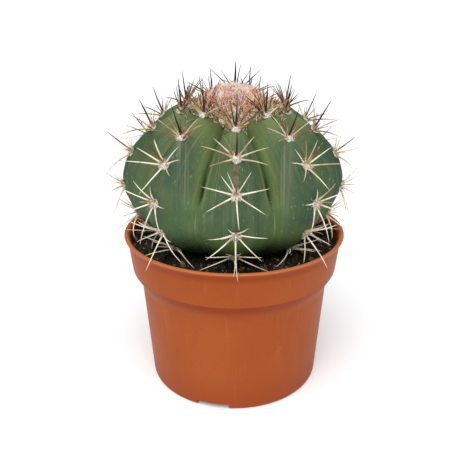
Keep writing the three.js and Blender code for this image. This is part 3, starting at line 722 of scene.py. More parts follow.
class Areole:
    def __init__(self, rib, level, arc, point):
        self.rib, self.level, self.arc = rib, level, arc
        r, z, _, nr, nz = point
        azimuth = rib_azimuth(rib)
        self.centre = around(azimuth, r, z)
        self.out = around(azimuth, nr, nz)
        self.up = around(azimuth, -nz, nr)
        self.side = np.cross(self.up, self.out)
        rise = LOW_RISE * float(smoothstep(-LOW_FROM, -LOW_TO, -z))
        self.away = unit(self.out + np.array([0, 0, rise]))
        self.node = f"areole_{rib + 1}_{level + 1}"
        self.spines = []

    def spine(self, spread, lift, root, length):
        """Start and end of a spine, by its angle from the way up the rib and its lift."""
        along = self.up * math.cos(spread) + self.side * math.sin(spread)
        start = self.centre + along * root + self.out * ROOT_HEIGHT
        way = unit(along * math.cos(lift) + self.away * math.sin(lift))
        return start, start + way * length


def make_areoles():
    made = []
    for rib in range(RIBS):
        for level in range(AREOLES_PER_RIB):
            arc = mix(AREOLE_ARCS[level], AREOLE_ARCS[level + 1], RIB_SHIFT[rib])
            if rib == 0:
                arc += FRONT_STRETCH * (arc / FRONT_STRETCH_ARC) ** 4
            if arc > CREST[-1, 2]:
                continue
            point = CREST[np.searchsorted(CREST[:, 2], arc)]
            if point[1] >= LOWEST_AREOLE:
                made.append(Areole(rib, level, arc, point))
    return made


def segment_distance(p1, q1, p2, q2):
    d1, d2, r = q1 - p1, q2 - p2, p1 - p2
    a, e, f, c, b = d1 @ d1, d2 @ d2, d2 @ r, d1 @ r, d1 @ d2
    denominator = a * e - b * b
    s = clamp01((b * f - c * e) / denominator) if denominator > 1e-9 else 0.0
    t = (b * s + f) / e
    if t < 0:
        t, s = 0.0, clamp01(-c / a)
    elif t > 1:
        t, s = 1.0, clamp01((b - c) / a)
    return np.linalg.norm(p1 + d1 * s - p2 - d2 * t)


def point_is_clear(point):
    in_cap = math.hypot(point[0], point[1]) / CAP_CLEAR_RADIUS
    if math.hypot(in_cap, (point[2] - CAP_CENTRE) / CAP_CLEAR_RISE) < 1:
        return False
    x, y, z = planted(point)
    if z > POT_HEIGHT + RIM_CLEARANCE:
        return True
    radius = math.hypot(x, y)
    if radius > RIM_RADIUS + RIM_CLEARANCE:
        return True
    return radius < COLLAR_TOP_RADIUS - WALL - RIM_CLEARANCE and z > SOIL_LEVEL + SOIL_CLEARANCE


def spine_is_clear(areole, areoles, placed, start, end):
    for i in range(FIRST_SAMPLE, SPINE_SAMPLES + 1):
        if not point_is_clear(start + (end - start) * i / SPINE_SAMPLES):
            return False
    along = end - start
    for other in areoles:
        if other is not areole:
            share = clamp01((other.centre - start) @ along / (along @ along))
            if np.linalg.norm(start + along * share - other.centre) < PAD_CLEARANCE:
                return False
    for owner, other_start, other_end in placed:
        if owner is not areole and segment_distance(start, end, other_start, other_end) <= SPINE_CLEARANCE:
            return False
    return True


# Spines, by their place in the list above, that are this many times as long as the others.
LONG_SPINES = {
    ("areole_2_3", 8): 1.9, ("areole_9_3", 8): 1.9, ("areole_9_3", 5): 1.3, ("areole_2_2", 4): 1.25,
    ("areole_3_2", 4): 1.55, ("areole_3_2", 5): 1.5, ("areole_8_2", 4): 1.9, ("areole_8_2", 5): 1.2,
    ("areole_3_3", 4): 1.55, ("areole_8_3", 4): 1.5, ("areole_8_3", 5): 1.2, ("areole_5_3", 5): 1.3,
    ("areole_6_2", 4): 1.3,
}


def place_spines(areoles):
    """Gives each areole its spines, raised and spread until they are clear of the others."""
    placed = []
    for areole in areoles:
        seat = areole.rib * AREOLES_PER_RIB + areole.level
        for number, (kind, turn, root, lift, angles, lengths) in enumerate(SPINES):
            angle = np.interp(areole.arc, SPINE_ARCS, angles) + ANGLE_JITTER * draw(seat, number, 0)
            lift = lift + LIFT_JITTER * draw(seat, number, 1)
            length = np.interp(areole.arc, SPINE_ARCS, lengths) * (1 + LENGTH_JITTER * draw(seat, number, 2))
            if length < SHORTEST_SPINE:
                continue
            for step in range(CLEAR_STEPS):
                spread = turn * (angle + SPREAD_STEP * (step % SPREAD_STEPS)) * DEGREE
                raised = (lift + LIFT_STEP * step) * DEGREE
                reach = length * (1 - SHORTEN_STEP * max(0, step - SHORTEN_FROM))
                start, end = areole.spine(spread, raised, root, reach)
                if spine_is_clear(areole, areoles, placed, start, end):
                    break
            placed.append((areole, start, end))
            longer = LONG_SPINES.get((areole.node, number), 1)
            areole.spines.append((kind, start, start + (end - start) * longer))


# Stem.

# Points across one rib, and distances down it: close near the crown, even down to where the
# stem goes into the soil, and few below.
RIB_POINTS = 46
CROWN_ARCS = [0.4, 1.5, 3, 5, 7.5]
FIRST_ARC = 10
ARC_STEP = 0.8
BURIED_DEPTH = 6
BURIED_ROWS = 5
# Depth of the crease in each furrow at these distances down the rib, and its width.
CREASE_ARCS = [14, 26, 54, 66, 74, 84]
CREASE_DEPTHS = [0, 0.7, 0.7, 1.3, 1.3, 0]
CREASE_WIDTH = 0.8
STEM_BUMPS = [(0.45, 17, 1), (0.16, 6, 2)]
# The skin swells round each areole and dips under its felt: height, and size down and across.
SWELL = (0.75, 7.5, 8)
DIP = (1.25, 2.7, 2.6)
# Stains and strokes follow a cylinder of this radius, drawn out down the ribs.
FLOW_RADIUS = 60
FLOW_DOWN = 0.05
# Pale stripes run down the front this far to either side of the middle.
STRIPE_ASIDE = 25.5
STRIPE_WIDTH = 3.6
# Azimuth, distance down the rib and size of corky scars.
SCARS = [(-47, 61, 5.5), (-52, 70, 4), (49, 58, 6), (56, 66, 4), (128, 74, 5), (203, 88, 6)]


def bell(value, width):
    return np.exp(-((value / width) ** 2))


def stem_marks(points, azimuths, ribs, arcs, r, lateral, gap):
    """Where the stem's material has bark, painted shade near the crests, stripes, pale edges with a painted
    highlight, and scars.
    """

    def down(distances, values, front, others):
        return np.interp(arcs, distances, values) * np.where(ribs == 0, front, others)

    stripe = bell(np.abs(points[..., 0]) - STRIPE_ASIDE, STRIPE_WIDTH) * (np.cos(azimuths) > 0)
    scar = np.zeros(gap.shape)
    for azimuth, arc, size in SCARS:
        turn = (azimuths - azimuth * DEGREE + math.pi) % (2 * math.pi) - math.pi
        scar = np.maximum(scar, np.exp(-((turn * r) ** 2 + (arcs - arc) ** 2) / size ** 2))
    return {
        "bark": down([30, 40, 50, 66, 80], [0, 0.7, 1, 1, 0], 1, 0.5) * bell(lateral, 1.5),
        # Painted shade near the crests, mostly on the side ribs.
        "crest_shade": down([40, 52, 94, 108], [0, 1, 1, 0], 0.25, 1) * bell(lateral, 18),
        "stripe": down([26, 34, 74, 88], [0, 1, 1, 0], 1, 1) * stripe,
        # Pale edges: a painted highlight beside each furrow, strongest on the front rib.
        "edge": down([38, 48, 74, 84], [0, 1, 1, 0], 1, 0.35) * bell(gap - 3.0, 0.8),
        "scar": scar,
    }


def make_stem(material, areoles):
    u = np.linspace(-1, 1, RIB_POINTS, endpoint=False)
    section = 0.55 * u + 0.45 * np.sin(u * np.pi / 2)
    buried = CREST[np.argmax(CREST[:, 1] < SOIL_LEVEL - BURIED_DEPTH), 2]
    below = np.linspace(buried, CREST[-1, 2] - 0.1, BURIED_ROWS)
    arcs = np.concatenate([CROWN_ARCS, np.arange(FIRST_ARC, buried, ARC_STEP), below])[:, None]
    r, z, nr, nz = (np.interp(arcs, CREST[:, 2], CREST[:, column]) for column in (0, 1, 3, 4))
    ribs = np.repeat(np.arange(RIBS), RIB_POINTS)
    acrosses = np.tile(section, RIBS)
    neighbours = rib_azimuth(np.where(acrosses < 0, ribs - 1, ribs + 1))
    azimuths = rib_azimuth(ribs) + np.abs(acrosses) * (neighbours - rib_azimuth(ribs)) / 2
    swollen = ((1 + np.cos(azimuths)) / 2) ** SWOLLEN_SHARPNESS
    low, high = (mix(*pair, swollen) for pair in zip(FURROW_FADE_BACK, FURROW_FADE_FRONT))
    fade = mix(FURROW_LOW_SHARE, 1, smoothstep(low, high, z))
    depth = FURROW_DEPTH * fade * smoothstep(FURROW_CROWN_INNER, FURROW_CROWN_OUTER, r)
    lateral = acrosses * r * math.pi / RIBS
    gap = (1 - np.abs(acrosses)) * r * math.pi / RIBS
    crease = np.interp(arcs, CREASE_ARCS, CREASE_DEPTHS)
    out = -depth * np.abs(acrosses) ** CREST_SHARPNESS - crease * np.exp(-gap / CREASE_WIDTH)
    for areole in areoles:
        mine = ribs == areole.rib
        for sign, (height, down, across) in ((1, SWELL), (-1, DIP)):
            out[:, mine] += sign * height * bell(arcs - areole.arc, down) * bell(lateral[:, mine], across)
    points = around(azimuths, r + out * nr, z + out * nz)
    points = points + around(azimuths, nr, nz) * bumps(points, STEM_BUMPS)[..., None]
    turned = FLOW_RADIUS * np.sin(azimuths), FLOW_RADIUS * np.cos(azimuths)
    flow = np.stack(np.broadcast_arrays(*turned, arcs * FLOW_DOWN), -1)
    fields = {"across": np.abs(acrosses), "arc": arcs, "gap": gap,
              **stem_marks(points, azimuths, ribs, arcs, r, lateral, gap)}
    attributes = {}
    for name, values in fields.items():
        attributes[name] = np.append(np.broadcast_to(values, gap.shape), [0, 0])
    attributes["arc"][-1] = arcs[-1, 0]
    attributes["flow"] = np.concatenate([flow.reshape(-1, 3), np.zeros((2, 3))])
    vertices, faces = stacked(points, WAIST + CROWN_RISE, z[-1, 0], downwards=True)
    dress(piece("stem_skin", planted(vertices), faces, [material], attributes), ["stem"])


# Areoles in detail: felt pads with tufts, and curved tapered spines.

# Size of a pad against its full size, at these distances down the rib.
PAD_ARCS = [32, 60]
PAD_SIZES = [0.78, 1]
PAD_WIDTH = 2.9
PAD_LENGTH = 3.2
PAD_HEIGHT = 1.95
PAD_SIDES = 14
PAD_RINGS = 5
TUFT_COUNT = 90
TUFT_RADIUS = 0.17
TUFT_LENGTHS = (0.8, 2.0)
TONE_STEP = 0.618
# Age of each kind of spine, from 0 dark to 1 straw-coloured, at these distances down the rib.
AGE_ARCS = [30, 50, 71, 93]
SPINE_AGES = {
    "upper": [0.32, 0.9, 1, 1], "side": [0.32, 0.7, 1, 1], "lower": [0.3, 0.6, 1, 1],
    "crown": [0.22, 0.5, 1, 1], "down": [0.4, 0.8, 1, 1], "central": [0, 0.05, 0.42, 0.9],
    "finer": [0.24, 0.5, 1, 1],
}
SPINE_BOW = 0.11
SPINE_RADIUS = 0.46
SPINE_THICKNESS = {"central": 1.3, "finer": 0.7}
SPINE_SIDES = 8
SPINE_RINGS = 10
# Number of thin spines between the others, at these distances down the rib.
FINER_ARCS = [36, 60]
FINER_COUNTS = [7, 1]
FINER_ROOT = 1.5
FINER_SPREAD = (8, 74)
FINER_LIFT = (26, 58)
FINER_LENGTHS = (8, 15)


def hairs(roots, directions, lengths, radius, rng, curl):
    """Short soft hairs that curl to one side."""
    sideways = unit(np.cross(directions, unit(rng.normal(size=directions.shape))))
    middles = roots + directions * lengths[:, None] * 0.55
    ends = roots + directions * lengths[:, None] + sideways * (lengths * curl)[:, None]
    return tubes(roots, middles, ends, radius * rng.uniform(0.7, 1.25, len(roots)), 3, 2, point=0.7)


def per_strand(strands, **fields):
    """Gives every point of a strand the strand's own value, or all of them the same one."""
    size = len(strands[0])
    for name, values in fields.items():
        strands[2][name] = np.repeat(values, size // np.size(values))
    return strands


def felt_pad(areole, rng):
    """A domed pad of felt with tufts of hair round the spine roots."""
    size = float(np.interp(areole.arc, PAD_ARCS, PAD_SIZES))
    centre = areole.centre - areole.out * 0.35

    def oval(spin, width, length):
        across, along = np.cos(spin)[:, None] * width, np.sin(spin)[:, None] * length
        return size * (across * areole.side + along * areole.up)

    def upwards(points):
        return np.clip((points - centre) @ areole.up / (2 * PAD_LENGTH) + 0.5, 0, 1)

    lift = np.repeat(np.arange(PAD_RINGS) / PAD_RINGS * math.pi / 2, PAD_SIDES)[:, None]
    bumpy = 1 + 0.12 * rng.normal(size=(PAD_RINGS * PAD_SIDES, 1))
    flat = oval(np.tile(circle(PAD_SIDES), PAD_RINGS), PAD_WIDTH, PAD_LENGTH)
    rings = centre + flat * np.cos(lift) * bumpy + areole.out * (PAD_HEIGHT * np.sin(lift) - 0.5)
    points = np.concatenate([rings, [centre - areole.out * 0.5, centre + areole.out * 1.55]])
    faces = ring_faces(PAD_SIDES, PAD_RINGS, len(points) - 2, len(points) - 1)
    dome = (points, faces, {"tone": np.full(len(points), 0.55), "along": upwards(points)})
    spin = rng.uniform(0, 2 * math.pi, TUFT_COUNT)
    reach = np.sqrt(rng.uniform(0.02, 1, TUFT_COUNT))[:, None]
    flat = oval(spin, PAD_WIDTH - 0.1, PAD_LENGTH - 0.1) * reach
    rise = 1.5 * np.sqrt(1 - reach ** 2)
    roots = centre + flat + areole.out * (rise - 0.15)
    outward = unit(flat * 0.42 + areole.out * (0.5 + rise) * 0.9 + rng.normal(0, 0.35, flat.shape))
    tufts = hairs(roots, outward, size * rng.uniform(*TUFT_LENGTHS, TUFT_COUNT), TUFT_RADIUS, rng, 0.35)
    tones = np.arange(TUFT_COUNT) * TONE_STEP % 1
    return joined([dome, per_strand(tufts, tone=tones, along=upwards(tufts[0]))])


def finer_spines(areole, rng):
    """Thin spines between the others, on the younger areoles only."""
    made = []
    for number in range(int(np.interp(areole.arc, FINER_ARCS, FINER_COUNTS) + 0.5)):
        spread = (1 if number % 2 else -1) * rng.uniform(*FINER_SPREAD) * DEGREE
        lift = rng.uniform(*FINER_LIFT) * DEGREE
        made.append(("finer", *areole.spine(spread, lift, FINER_ROOT, rng.uniform(*FINER_LENGTHS))))
    return made


def spine_set(areole, rng):
    starts, middles, ends, radii, ages = [], [], [], [], []
    for kind, start, end in areole.spines + finer_spines(areole, rng):
        length = np.linalg.norm(end - start)
        straight = kind in ("central", "crown")
        bent = SPINE_BOW * (0.35 if straight else mix(1, 1.7, float(smoothstep(90, 112, areole.arc))))
        bow = areole.away * length * bent * rng.uniform(0.6, 1.5)
        sway = areole.side * length * 0.035 * rng.normal()
        starts.append(start - areole.out * 0.9 - (end - start) / length * 0.6)
        middles.append((starts[-1] + end) / 2 + bow + sway)
        ends.append(end)
        thick = SPINE_RADIUS * SPINE_THICKNESS.get(kind, 1)
        radii.append(thick * clamp01(0.6 + length / 40) * rng.uniform(0.92, 1.1))
        spread = 0.02 if kind == "central" else 0.11
        ages.append(np.interp(areole.arc, AGE_ARCS, SPINE_AGES[kind]) + spread * rng.normal())
    spines = tubes(starts, middles, ends, radii, SPINE_SIDES, SPINE_RINGS, point=0.62, swell=0.3)
    return per_strand(spines, age=ages, tone=rng.random(len(ages)))


def make_areole_piece(name, areoles, spine, felt):
    parts, kinds = [], []
    for areole in areoles:
        rng = np.random.default_rng(SEED + 31 * areole.rib + areole.level)
        pad, spines = felt_pad(areole, rng), spine_set(areole, rng)
        pad[2]["age"] = np.full(len(pad[0]), float(smoothstep(46, 66, areole.arc)))
        parts += [pad, spines]
        kinds += [1] * len(pad[1]) + [0] * len(spines[1])
    vertices, faces, attributes = joined(parts)
    made = piece(name, planted(vertices), faces, [spine, felt], attributes, kinds)
    dress(made, [areole.node for areole in areoles])


# Cephalium.

CAP_SEGMENTS = 72
CAP_ROWS = 30
CAP_BUMPS = [(0.9, 4.2, 11), (0.5, 1.7, 12)]
WOOL_COUNT = 4200
WOOL_LENGTHS = (1.6, 3.6)
WOOL_RADIUS = 0.26
FELT_COUNT = 4200
FELT_LENGTHS = (1.3, 2.8)
PINK_BRISTLES = 330
PINK_LENGTHS = (3.2, 6.2)
PINK_RADIUS = 0.23
FOOT_BRISTLES = 260
FOOT_BRISTLE_RING = (13, 17)
SHORT_BRISTLES = 420
SHORT_LENGTHS = (3.0, 6.2)
BRISTLE_RADIUS = 0.3
# The layer of felt round the foot: segments and rows, inner and outer radius, and how much
# farther it reaches out on the rib crests.
SKIRT_SEGMENTS = 216
SKIRT_ROWS = 9
SKIRT_INNER = 12.5
SKIRT_OUTER = 17.2
SKIRT_ON_CREST = 2.6
# Felt and short bristles grow from this radius outwards, some of them in a ring up to the next.
FOOT_INNER = 13.2
FOOT_RING = 17.4
# Tips of a fan of spines behind the cap, across and up from their root, and their thickness.
REAR_ROOT = (0.6, 15.5, 170)
REAR_SPINES = [
    ((0, 3, 17.6), 0.85), ((3.2, 2, 16.6), 0.42), ((-16, 3, 14), 0.42), ((15.5, 4, 13.5), 0.42),
    ((-9, 5, 13), 0.36), ((9.5, 2, 14), 0.36),
]


def spread_at(height):
    return np.sqrt(np.clip(1 - height ** 2, 0, 1))


def on_cap(height, turn, share=1.0):
    """A point on the cap's flattened ball: height runs from -1 to 1."""
    return around(turn, share * CAP_RADIUS * spread_at(height), CAP_CENTRE + share * CAP_RISE * height)


def cap_normal(height, turn):
    return unit(around(turn, spread_at(height) / CAP_RADIUS, height / CAP_RISE))


def cap_level(height):
    """The material's height for a height on the cap."""
    return np.clip(height * 0.62 + 0.38, 0, 1)


def off_crest(turn):
    """0 on a rib's crest and 1 in the furrow beside it, near the crown."""
    share = ((turn - RIB_TURN) * RIBS / (2 * math.pi)) % 1
    return 2 * np.minimum(share, 1 - share)


def skin_height(turn, r):
    """Height of the stem's skin near the crown, at a distance from its axis."""
    crown = CREST[CREST[:, 2] < 60]
    depth = FURROW_DEPTH * smoothstep(FURROW_CROWN_INNER, FURROW_CROWN_OUTER, r)
    return np.interp(r, crown[:, 0], crown[:, 1]) - depth * off_crest(turn) ** CREST_SHARPNESS


def cap_core():
    """The lumpy body of the cap."""
    heights = np.sin(np.linspace(math.pi / 2 - 0.04, -0.75, CAP_ROWS))[:, None]
    turns = circle(CAP_SEGMENTS)
    surface = on_cap(heights, turns)
    surface = surface + cap_normal(heights, turns) * bumps(surface, CAP_BUMPS)[..., None]
    points, faces = stacked(surface, CAP_CENTRE + CAP_RISE, CAP_CENTRE - 0.7 * CAP_RISE, downwards=True)
    level = cap_level((points[:, 2] - CAP_CENTRE) / CAP_RISE)
    return per_strand((points, faces, {"height": level}), tone=0.3 + 0.25 * noise(points, 1.2, 13), along=0.0)


def foot_skirt():
    """A thin uneven layer of felt that lies on the ribs round the foot of the cap."""
    turn = circle(SKIRT_SEGMENTS)
    edge = SKIRT_OUTER + SKIRT_ON_CREST * (1 - off_crest(turn)) ** 2
    edge = edge + 0.9 * noise(around(turn, 17.0, 0), 2.2, 41)
    rings = []
    for s in np.linspace(0, 1, SKIRT_ROWS):
        r = mix(SKIRT_INNER, edge, s)
        ring = around(turn, r, skin_height(turn, r))
        ring[:, 2] += mix(-0.5, 1.1, math.sqrt(1 - s * s)) + 0.35 * noise(ring, 1.5, 42)
        rings.append(ring)
    for r, sink in ((edge, 1.4), (np.full(SKIRT_SEGMENTS, SKIRT_INNER), 2.5)):
        rings.append(around(turn, r, skin_height(turn, r) - sink))
    points = np.concatenate(rings)
    faces = []
    for row in range(len(rings)):
        a, b = row * SKIRT_SEGMENTS, (row + 1) % len(rings) * SKIRT_SEGMENTS
        for k in range(SKIRT_SEGMENTS):
            after = (k + 1) % SKIRT_SEGMENTS
            faces.append([a + k, b + k, b + after, a + after])
    tone = np.clip(0.5 + 0.5 * noise(points, 1.3, 43), 0, 1)
    return per_strand((points, faces, {}), tone=tone, along=0.0, height=0.06)


def cap_wool(count, rng):
    """Soft hairs all over the cap, standing up in tufts."""
    height = rng.uniform(-0.45, 1, count)
    turn = rng.uniform(0, 2 * math.pi, count)
    roots = on_cap(height, turn, 0.95)
    tuft = np.stack([noise(roots, 2.6, seed) for seed in (31, 32, 33)], -1)
    upright = cap_normal(height, turn) + np.array([0, 0, 0.5])
    lean = unit(upright + 0.55 * tuft + rng.normal(0, 0.3, (count, 3)))
    lengths = rng.uniform(*WOOL_LENGTHS, count) * (1 + 0.4 * noise(roots, 3.1, 34))
    strands = hairs(roots, lean, lengths, WOOL_RADIUS, rng, 0.5)
    tone = np.clip(rng.random(count) * 0.7 + 0.3 + 0.5 * tuft[:, 0], 0, 1)
    return per_strand(strands, tone=tone, height=cap_level(height))


def foot_places(areoles, count, rng):
    """Azimuths and radii round the foot of the cap, and out along the rib crests."""
    firsts = [math.hypot(*areole.centre[:2]) for areole in areoles if areole.level == 0]
    rib = rng.integers(0, RIBS, count)
    reach = np.array(firsts)[rib] - 1.2
    r = mix(FOOT_INNER, reach, rng.random(count) ** 1.1)
    narrowing = mix(1, 0.6, (r - FOOT_INNER) / (reach - FOOT_INNER))
    lateral = rng.triangular(-1, 0, 1, count) * narrowing * r * math.pi / RIBS
    turn = rib_azimuth(rib) + lateral / r
    ringed = rng.random(count) < 0.4
    turn = np.where(ringed, rng.uniform(0, 2 * math.pi, count), turn)
    return turn, np.where(ringed, mix(FOOT_INNER, FOOT_RING, rng.random(count)), r)


def foot_roots(areoles, count, sink, way, spread, rng):
    """Roots and directions of strands round the foot of the cap."""
    turn, r = foot_places(areoles, count, rng)
    lean = unit(around(turn, *way) + rng.normal(0, spread, (count, 3)))
    return around(turn, r, skin_height(turn, r) - sink), lean


def bristles(roots, middles, ends, radius, limits, kind, rng, sides=5, rings=5, point=0.6):
    """Bristles of uneven thickness and tone."""
    radii = radius * rng.uniform(*limits, len(roots))
    strands = tubes(roots, middles, ends, radii, sides, rings, point)
    return per_strand(strands, tone=rng.random(len(roots)), kind=kind)


def foot_felt(areoles, count, rng):
    """Cream felt round the foot of the cap."""
    roots, lean = foot_roots(areoles, count, 0.2, (0.7, 0.9), 0.35, rng)
    strands = hairs(roots, lean, rng.uniform(*FELT_LENGTHS, count), WOOL_RADIUS, rng, 0.35)
    return per_strand(strands, tone=rng.random(count), height=0.08)


def short_bristles(areoles, count, rng):
    """Short stiff bristles round the foot of the cap."""
    roots, lean = foot_roots(areoles, count, 0.1, (0.4, 1.0), 0.42, rng)
    lengths = rng.uniform(*SHORT_LENGTHS, count)[:, None]
    middles = roots + lean * 0.5 * lengths + rng.normal(0, 0.2, (count, 3))
    return bristles(roots, middles, roots + lean * lengths, BRISTLE_RADIUS, (0.7, 1.3), 1.0, rng)


def cap_bristles(count, rng):
    """Pink bristles among the wool, longest on the sides."""
    height = np.clip(1.25 * rng.beta(1.1, 1.5, count) - 0.45, -0.45, 0.8)
    turn = rng.uniform(0, 2 * math.pi, count)
    roots = on_cap(height, turn, 0.9)
    normal = cap_normal(height, turn)
    lean = unit(normal * 0.72 + np.array([0, 0, 0.8]) + rng.normal(0, 0.24, (count, 3)))
    lengths = rng.uniform(*PINK_LENGTHS, count) * mix(1.0, 0.72, np.clip(height, 0, 1))
    lengths = lengths[:, None]
    middles = roots + lean * lengths * 0.5 + normal * 0.15 * lengths
    ends = roots + (lean + np.array([0, 0, 0.12])) * lengths
    return bristles(roots, middles, ends, PINK_RADIUS, (0.8, 1.3), 0.0, rng, sides=4, point=0.7)


def foot_bristles(count, rng):
    """Stiff brown and straw-coloured bristles that stick out round the foot of the cap."""
    turn = rng.uniform(0, 2 * math.pi, count)
    r = rng.uniform(*FOOT_BRISTLE_RING, count)
    roots = around(turn, r, np.maximum(skin_height(turn, r), CAP_CENTRE) + 0.1)
    slope = mix(14, 66, rng.random(count)) * DEGREE
    drift = turn + rng.normal(0, 0.22, count)
    reach = rng.uniform(0.84, 0.98, count)
    ends = around(drift, reach * CAP_CLEAR_RADIUS * np.cos(slope),
                  CAP_CENTRE + reach * CAP_CLEAR_RISE * np.sin(slope))
    middles = (roots + ends) / 2 + np.array([0, 0, 0.5]) + rng.normal(0, 0.25, (count, 3))
    return bristles(roots, middles, ends, BRISTLE_RADIUS, (0.75, 1.25), 1.0, rng, rings=6)


def rear_spines(rng):
    """A fan of young dark spines that stands up behind the cap."""
    tips, radii = zip(*REAR_SPINES)
    root = np.array(REAR_ROOT)
    ends = root + np.array(tips)
    starts = root + 0.04 * (ends - root) + rng.normal(0, 0.3, ends.shape)
    middles = (starts + ends) / 2 + rng.normal(0, 0.5, ends.shape)
    return per_strand(tubes(starts, middles, ends, radii, 6, 8, point=0.6), tone=0.5, kind=2.0)


def make_cephalium(wool, bristle, areoles):
    rng = np.random.default_rng(SEED + 7)
    parts = {
        "cephalium_wool": (wool, [
            cap_core(), foot_skirt(), cap_wool(WOOL_COUNT, rng), foot_felt(areoles, FELT_COUNT, rng)]),
        "cephalium_bristles": (bristle, [
            cap_bristles(PINK_BRISTLES, rng), foot_bristles(FOOT_BRISTLES, rng),
            short_bristles(areoles, SHORT_BRISTLES, rng), rear_spines(rng)]),
    }
    for name, (material, strands) in parts.items():
        vertices, faces, attributes = joined(strands)
        dress(piece(name, planted(vertices), faces, [material], attributes), ["cephalium"])


# Soil.

SOIL_SEGMENTS = 300
SOIL_GAP = 0.3
SOIL_EDGE_GAP = 0.35
SOIL_BUMPS = [(0.9, 9, 21), (0.6, 3.6, 22), (0.35, 1.6, 23)]
# Number of fine crumbs, of flakes of bark and of pale grit, and the ring that each lies in.
CRUMB_COUNT = 3400
CRUMB_RING = (28, 60.2)
FLAKE_COUNT = 150
FLAKE_RING = (30, 59)
FLAKE_SHAPE = ((1.1, 1.9), (0.6, 1.0), (0.25, 0.5))
GRIT_COUNT = 150
GRIT_RING = (32, 60)


def soil_height(x, y):
    return SOIL_LEVEL + bumps(np.stack([x, y, np.zeros_like(x)], -1), SOIL_BUMPS)


def icosahedron():
    g = (1 + 5 ** 0.5) / 2
    points = [(-1, g, 0), (1, g, 0), (-1, -g, 0), (1, -g, 0), (0, -1, g), (0, 1, g),
              (0, -1, -g), (0, 1, -g), (g, 0, -1), (g, 0, 1), (-g, 0, -1), (-g, 0, 1)]
    faces = [(0, 11, 5), (0, 5, 1), (0, 1, 7), (0, 7, 10), (0, 10, 11), (1, 5, 9), (5, 11, 4),
             (11, 10, 2), (10, 7, 6), (7, 1, 8), (3, 9, 4), (3, 4, 2), (3, 2, 6), (3, 6, 8),
             (3, 8, 9), (4, 9, 5), (2, 4, 11), (6, 2, 10), (8, 6, 7), (9, 8, 1)]
    return unit(np.array(points, float)), faces


def finer_ball(ball, faces):
    """The ball with each of its faces cut into four."""
    mesh = bmesh.new()
    made = [mesh.verts.new(p) for p in ball]
    for face in faces:
        mesh.faces.new([made[i] for i in face])
    bmesh.ops.subdivide_edges(mesh, edges=mesh.edges[:], cuts=1, use_grid_fill=True)
    bmesh.ops.triangulate(mesh, faces=mesh.faces[:])
    mesh.verts.index_update()
    ball = unit(np.array([v.co for v in mesh.verts]))
    faces = [tuple(v.index for v in f.verts) for f in mesh.faces]
    mesh.free()
    return ball, faces


def lumps(ball, centres, sizes, shapes, kinds, rng):
    """Rough grains: jittered balls, stretched and turned any way."""
    corners, faces = ball
    count, each = len(centres), len(corners)
    rough = rng.uniform(0.72, 1.22, (count, each, 1))
    points = corners[None] * rough * (sizes[:, None] * shapes)[:, None]
    turns = np.linalg.qr(rng.normal(size=(count, 3, 3)))[0]
    turns[np.linalg.det(turns) < 0, :, 0] *= -1
    points = np.einsum("nij,nkj->nki", turns, points) + centres[:, None]
    grains = (points.reshape(-1, 3), repeated(faces, count, each), {})
    return per_strand(grains, kind=kinds, tone=rng.random(count))


def scattered(count, ring, rng):
    radius = np.sqrt(rng.uniform(ring[0] ** 2, ring[1] ** 2, count))
    turn = rng.uniform(0, 2 * math.pi, count)
    return radius * np.sin(turn), -radius * np.cos(turn)


def on_soil(x, y, rise):
    return np.stack([x, y, soil_height(x, y) + rise], -1)


def make_soil(material, crumb):
    rng = np.random.default_rng(SEED + 3)
    turn = circle(SOIL_SEGMENTS)
    rings = [around(turn, r - SOIL_GAP, z + SOIL_GAP) for r, z, _ in POT_INSIDE]
    top_radius = COLLAR_TOP_RADIUS - WALL - SOIL_EDGE_GAP
    for r in np.concatenate([np.linspace(top_radius, 30, 44), [20, 10]]):
        rings.append(on_soil(r * np.sin(turn), -r * np.cos(turn), 0))
    bed = piece("soil_bed", *stacked(rings, WALL + SOIL_GAP, SOIL_LEVEL), [material])
    dress(bed, ["soil"])

    coarse = icosahedron()
    fine = finer_ball(*coarse)
    x, y = scattered(CRUMB_COUNT, CRUMB_RING, rng)
    sizes = 0.35 + 1.0 * rng.beta(1.2, 3.2, CRUMB_COUNT)
    centres = on_soil(x, y, sizes * rng.uniform(0, 0.7, CRUMB_COUNT))
    shapes = rng.uniform(0.6, 1.25, (CRUMB_COUNT, 3))
    kinds = (rng.random(CRUMB_COUNT) < 0.16).astype(float)
    crumbs = lumps(coarse, centres, sizes, shapes, kinds, rng)
    x, y = scattered(FLAKE_COUNT, FLAKE_RING, rng)
    sizes = rng.uniform(1.0, 2.3, FLAKE_COUNT)
    shapes = np.stack([rng.uniform(*limits, FLAKE_COUNT) for limits in FLAKE_SHAPE], -1)
    kinds = (rng.random(FLAKE_COUNT) < 0.6).astype(float)
    flakes = lumps(fine, on_soil(x, y, 0.55 * sizes), sizes, shapes, kinds, rng)
    x, y = scattered(GRIT_COUNT, GRIT_RING, rng)
    sizes = 0.35 + 0.6 * rng.beta(1.2, 3, GRIT_COUNT)
    shapes = rng.uniform(0.7, 1.2, (GRIT_COUNT, 3))
    grit = lumps(fine, on_soil(x, y, 0.5 * sizes), sizes, shapes, 2.0, rng)
    vertices, faces, attributes = joined([crumbs, flakes, grit])
    dress(piece("soil_crumbs", vertices, faces, [crumb], attributes, flat=True), ["soil"])


# Floor, lights and camera.

FLOOR_HALF = 20000
FLOOR_GLOW = 0.16
FLOOR_TONE = (238.614, 239.8339, 241.0456)
FLOOR_PATCH = (241.0456, 242.2494, 243.4452)
SUN_AZIMUTH = -9 * DEGREE
SUN_HEIGHT = 58 * DEGREE
SUN_SPREAD = 46 * DEGREE
SUN_STRENGTH = 2.5
SKY_STRENGTH = 0.45
WHITE = (1, 1, 1, 1)
LENS = 49.736
SENSOR = 36
CAMERA_SHIFT = -0.0203
CAMERA_PLACE = (0, -0.3460, 0.2298)
CAMERA_DOWN = 21.41 * DEGREE
NEAREST = 0.01


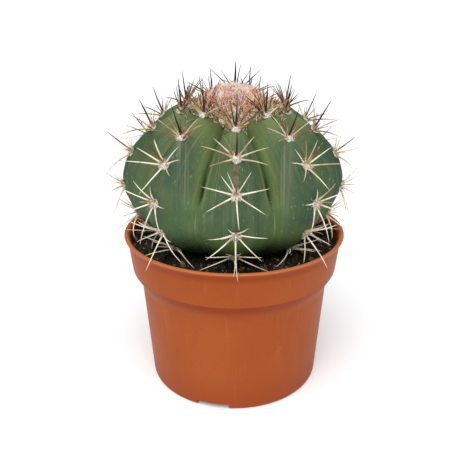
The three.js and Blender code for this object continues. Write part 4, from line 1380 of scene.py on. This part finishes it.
def make_floor():
    s = Shader("floor_paper", roughness=0.9, specular=0.1)
    s.surface.inputs["Emission Color"].default_value = WHITE
    s.surface.inputs["Emission Strength"].default_value = FLOOR_GLOW
    s.colour = s.blend(s.noise(s.place(), 3, 2), FLOOR_TONE, FLOOR_PATCH)
    corners = [[x * FLOOR_HALF, y * FLOOR_HALF, 0] for x, y in ((-1, -1), (1, -1), (1, 1), (-1, 1))]
    piece("floor", corners, [[0, 1, 2, 3]], [s.finish()])


def make_light():
    """An even light from one side and height, with soft shadows, and a dim white sky."""
    world = bpy.data.worlds.new("studio")
    world.use_nodes = True
    world.node_tree.nodes["Background"].inputs["Color"].default_value = WHITE
    world.node_tree.nodes["Background"].inputs["Strength"].default_value = SKY_STRENGTH
    bpy.context.scene.world = world
    light = bpy.data.lights.new("key", "SUN")
    light.angle = SUN_SPREAD
    light.energy = SUN_STRENGTH
    holder = bpy.data.objects.new("key", light)
    towards = Vector(around(SUN_AZIMUTH, math.cos(SUN_HEIGHT), math.sin(SUN_HEIGHT)))
    holder.rotation_euler = (-towards).to_track_quat("-Z", "Y").to_euler()
    bpy.context.scene.collection.objects.link(holder)
    bpy.context.scene.view_settings.view_transform = "Standard"


def make_camera():
    data = bpy.data.cameras.new("camera")
    data.lens = LENS
    data.sensor_width = SENSOR
    data.shift_x = CAMERA_SHIFT
    data.clip_start = NEAREST
    camera = bpy.data.objects.new("camera", data)
    camera.location = CAMERA_PLACE
    camera.rotation_euler = (math.pi / 2 - CAMERA_DOWN, 0, 0)
    bpy.context.scene.collection.objects.link(camera)
    bpy.context.scene.camera = camera


make_camera()
make_light()
make_floor()
areoles = make_areoles()
place_spines(areoles)
make_pot(pot_material())
make_soil(soil_material(), crumb_material())
make_stem(stem_material(), areoles)
make_cephalium(wool_material(), bristle_material(), areoles)
spine, felt = spine_material(), felt_material()
young = [areole for areole in areoles if areole.arc < YOUNG_ARC]
make_areole_piece("areoles_crown", young, spine, felt)
for rib in range(RIBS):
    grown = [areole for areole in areoles if areole.rib == rib and areole.arc >= YOUNG_ARC]
    make_areole_piece(f"areoles_rib_{rib + 1}", grown, spine, felt)

bpy.context.view_layer.update()
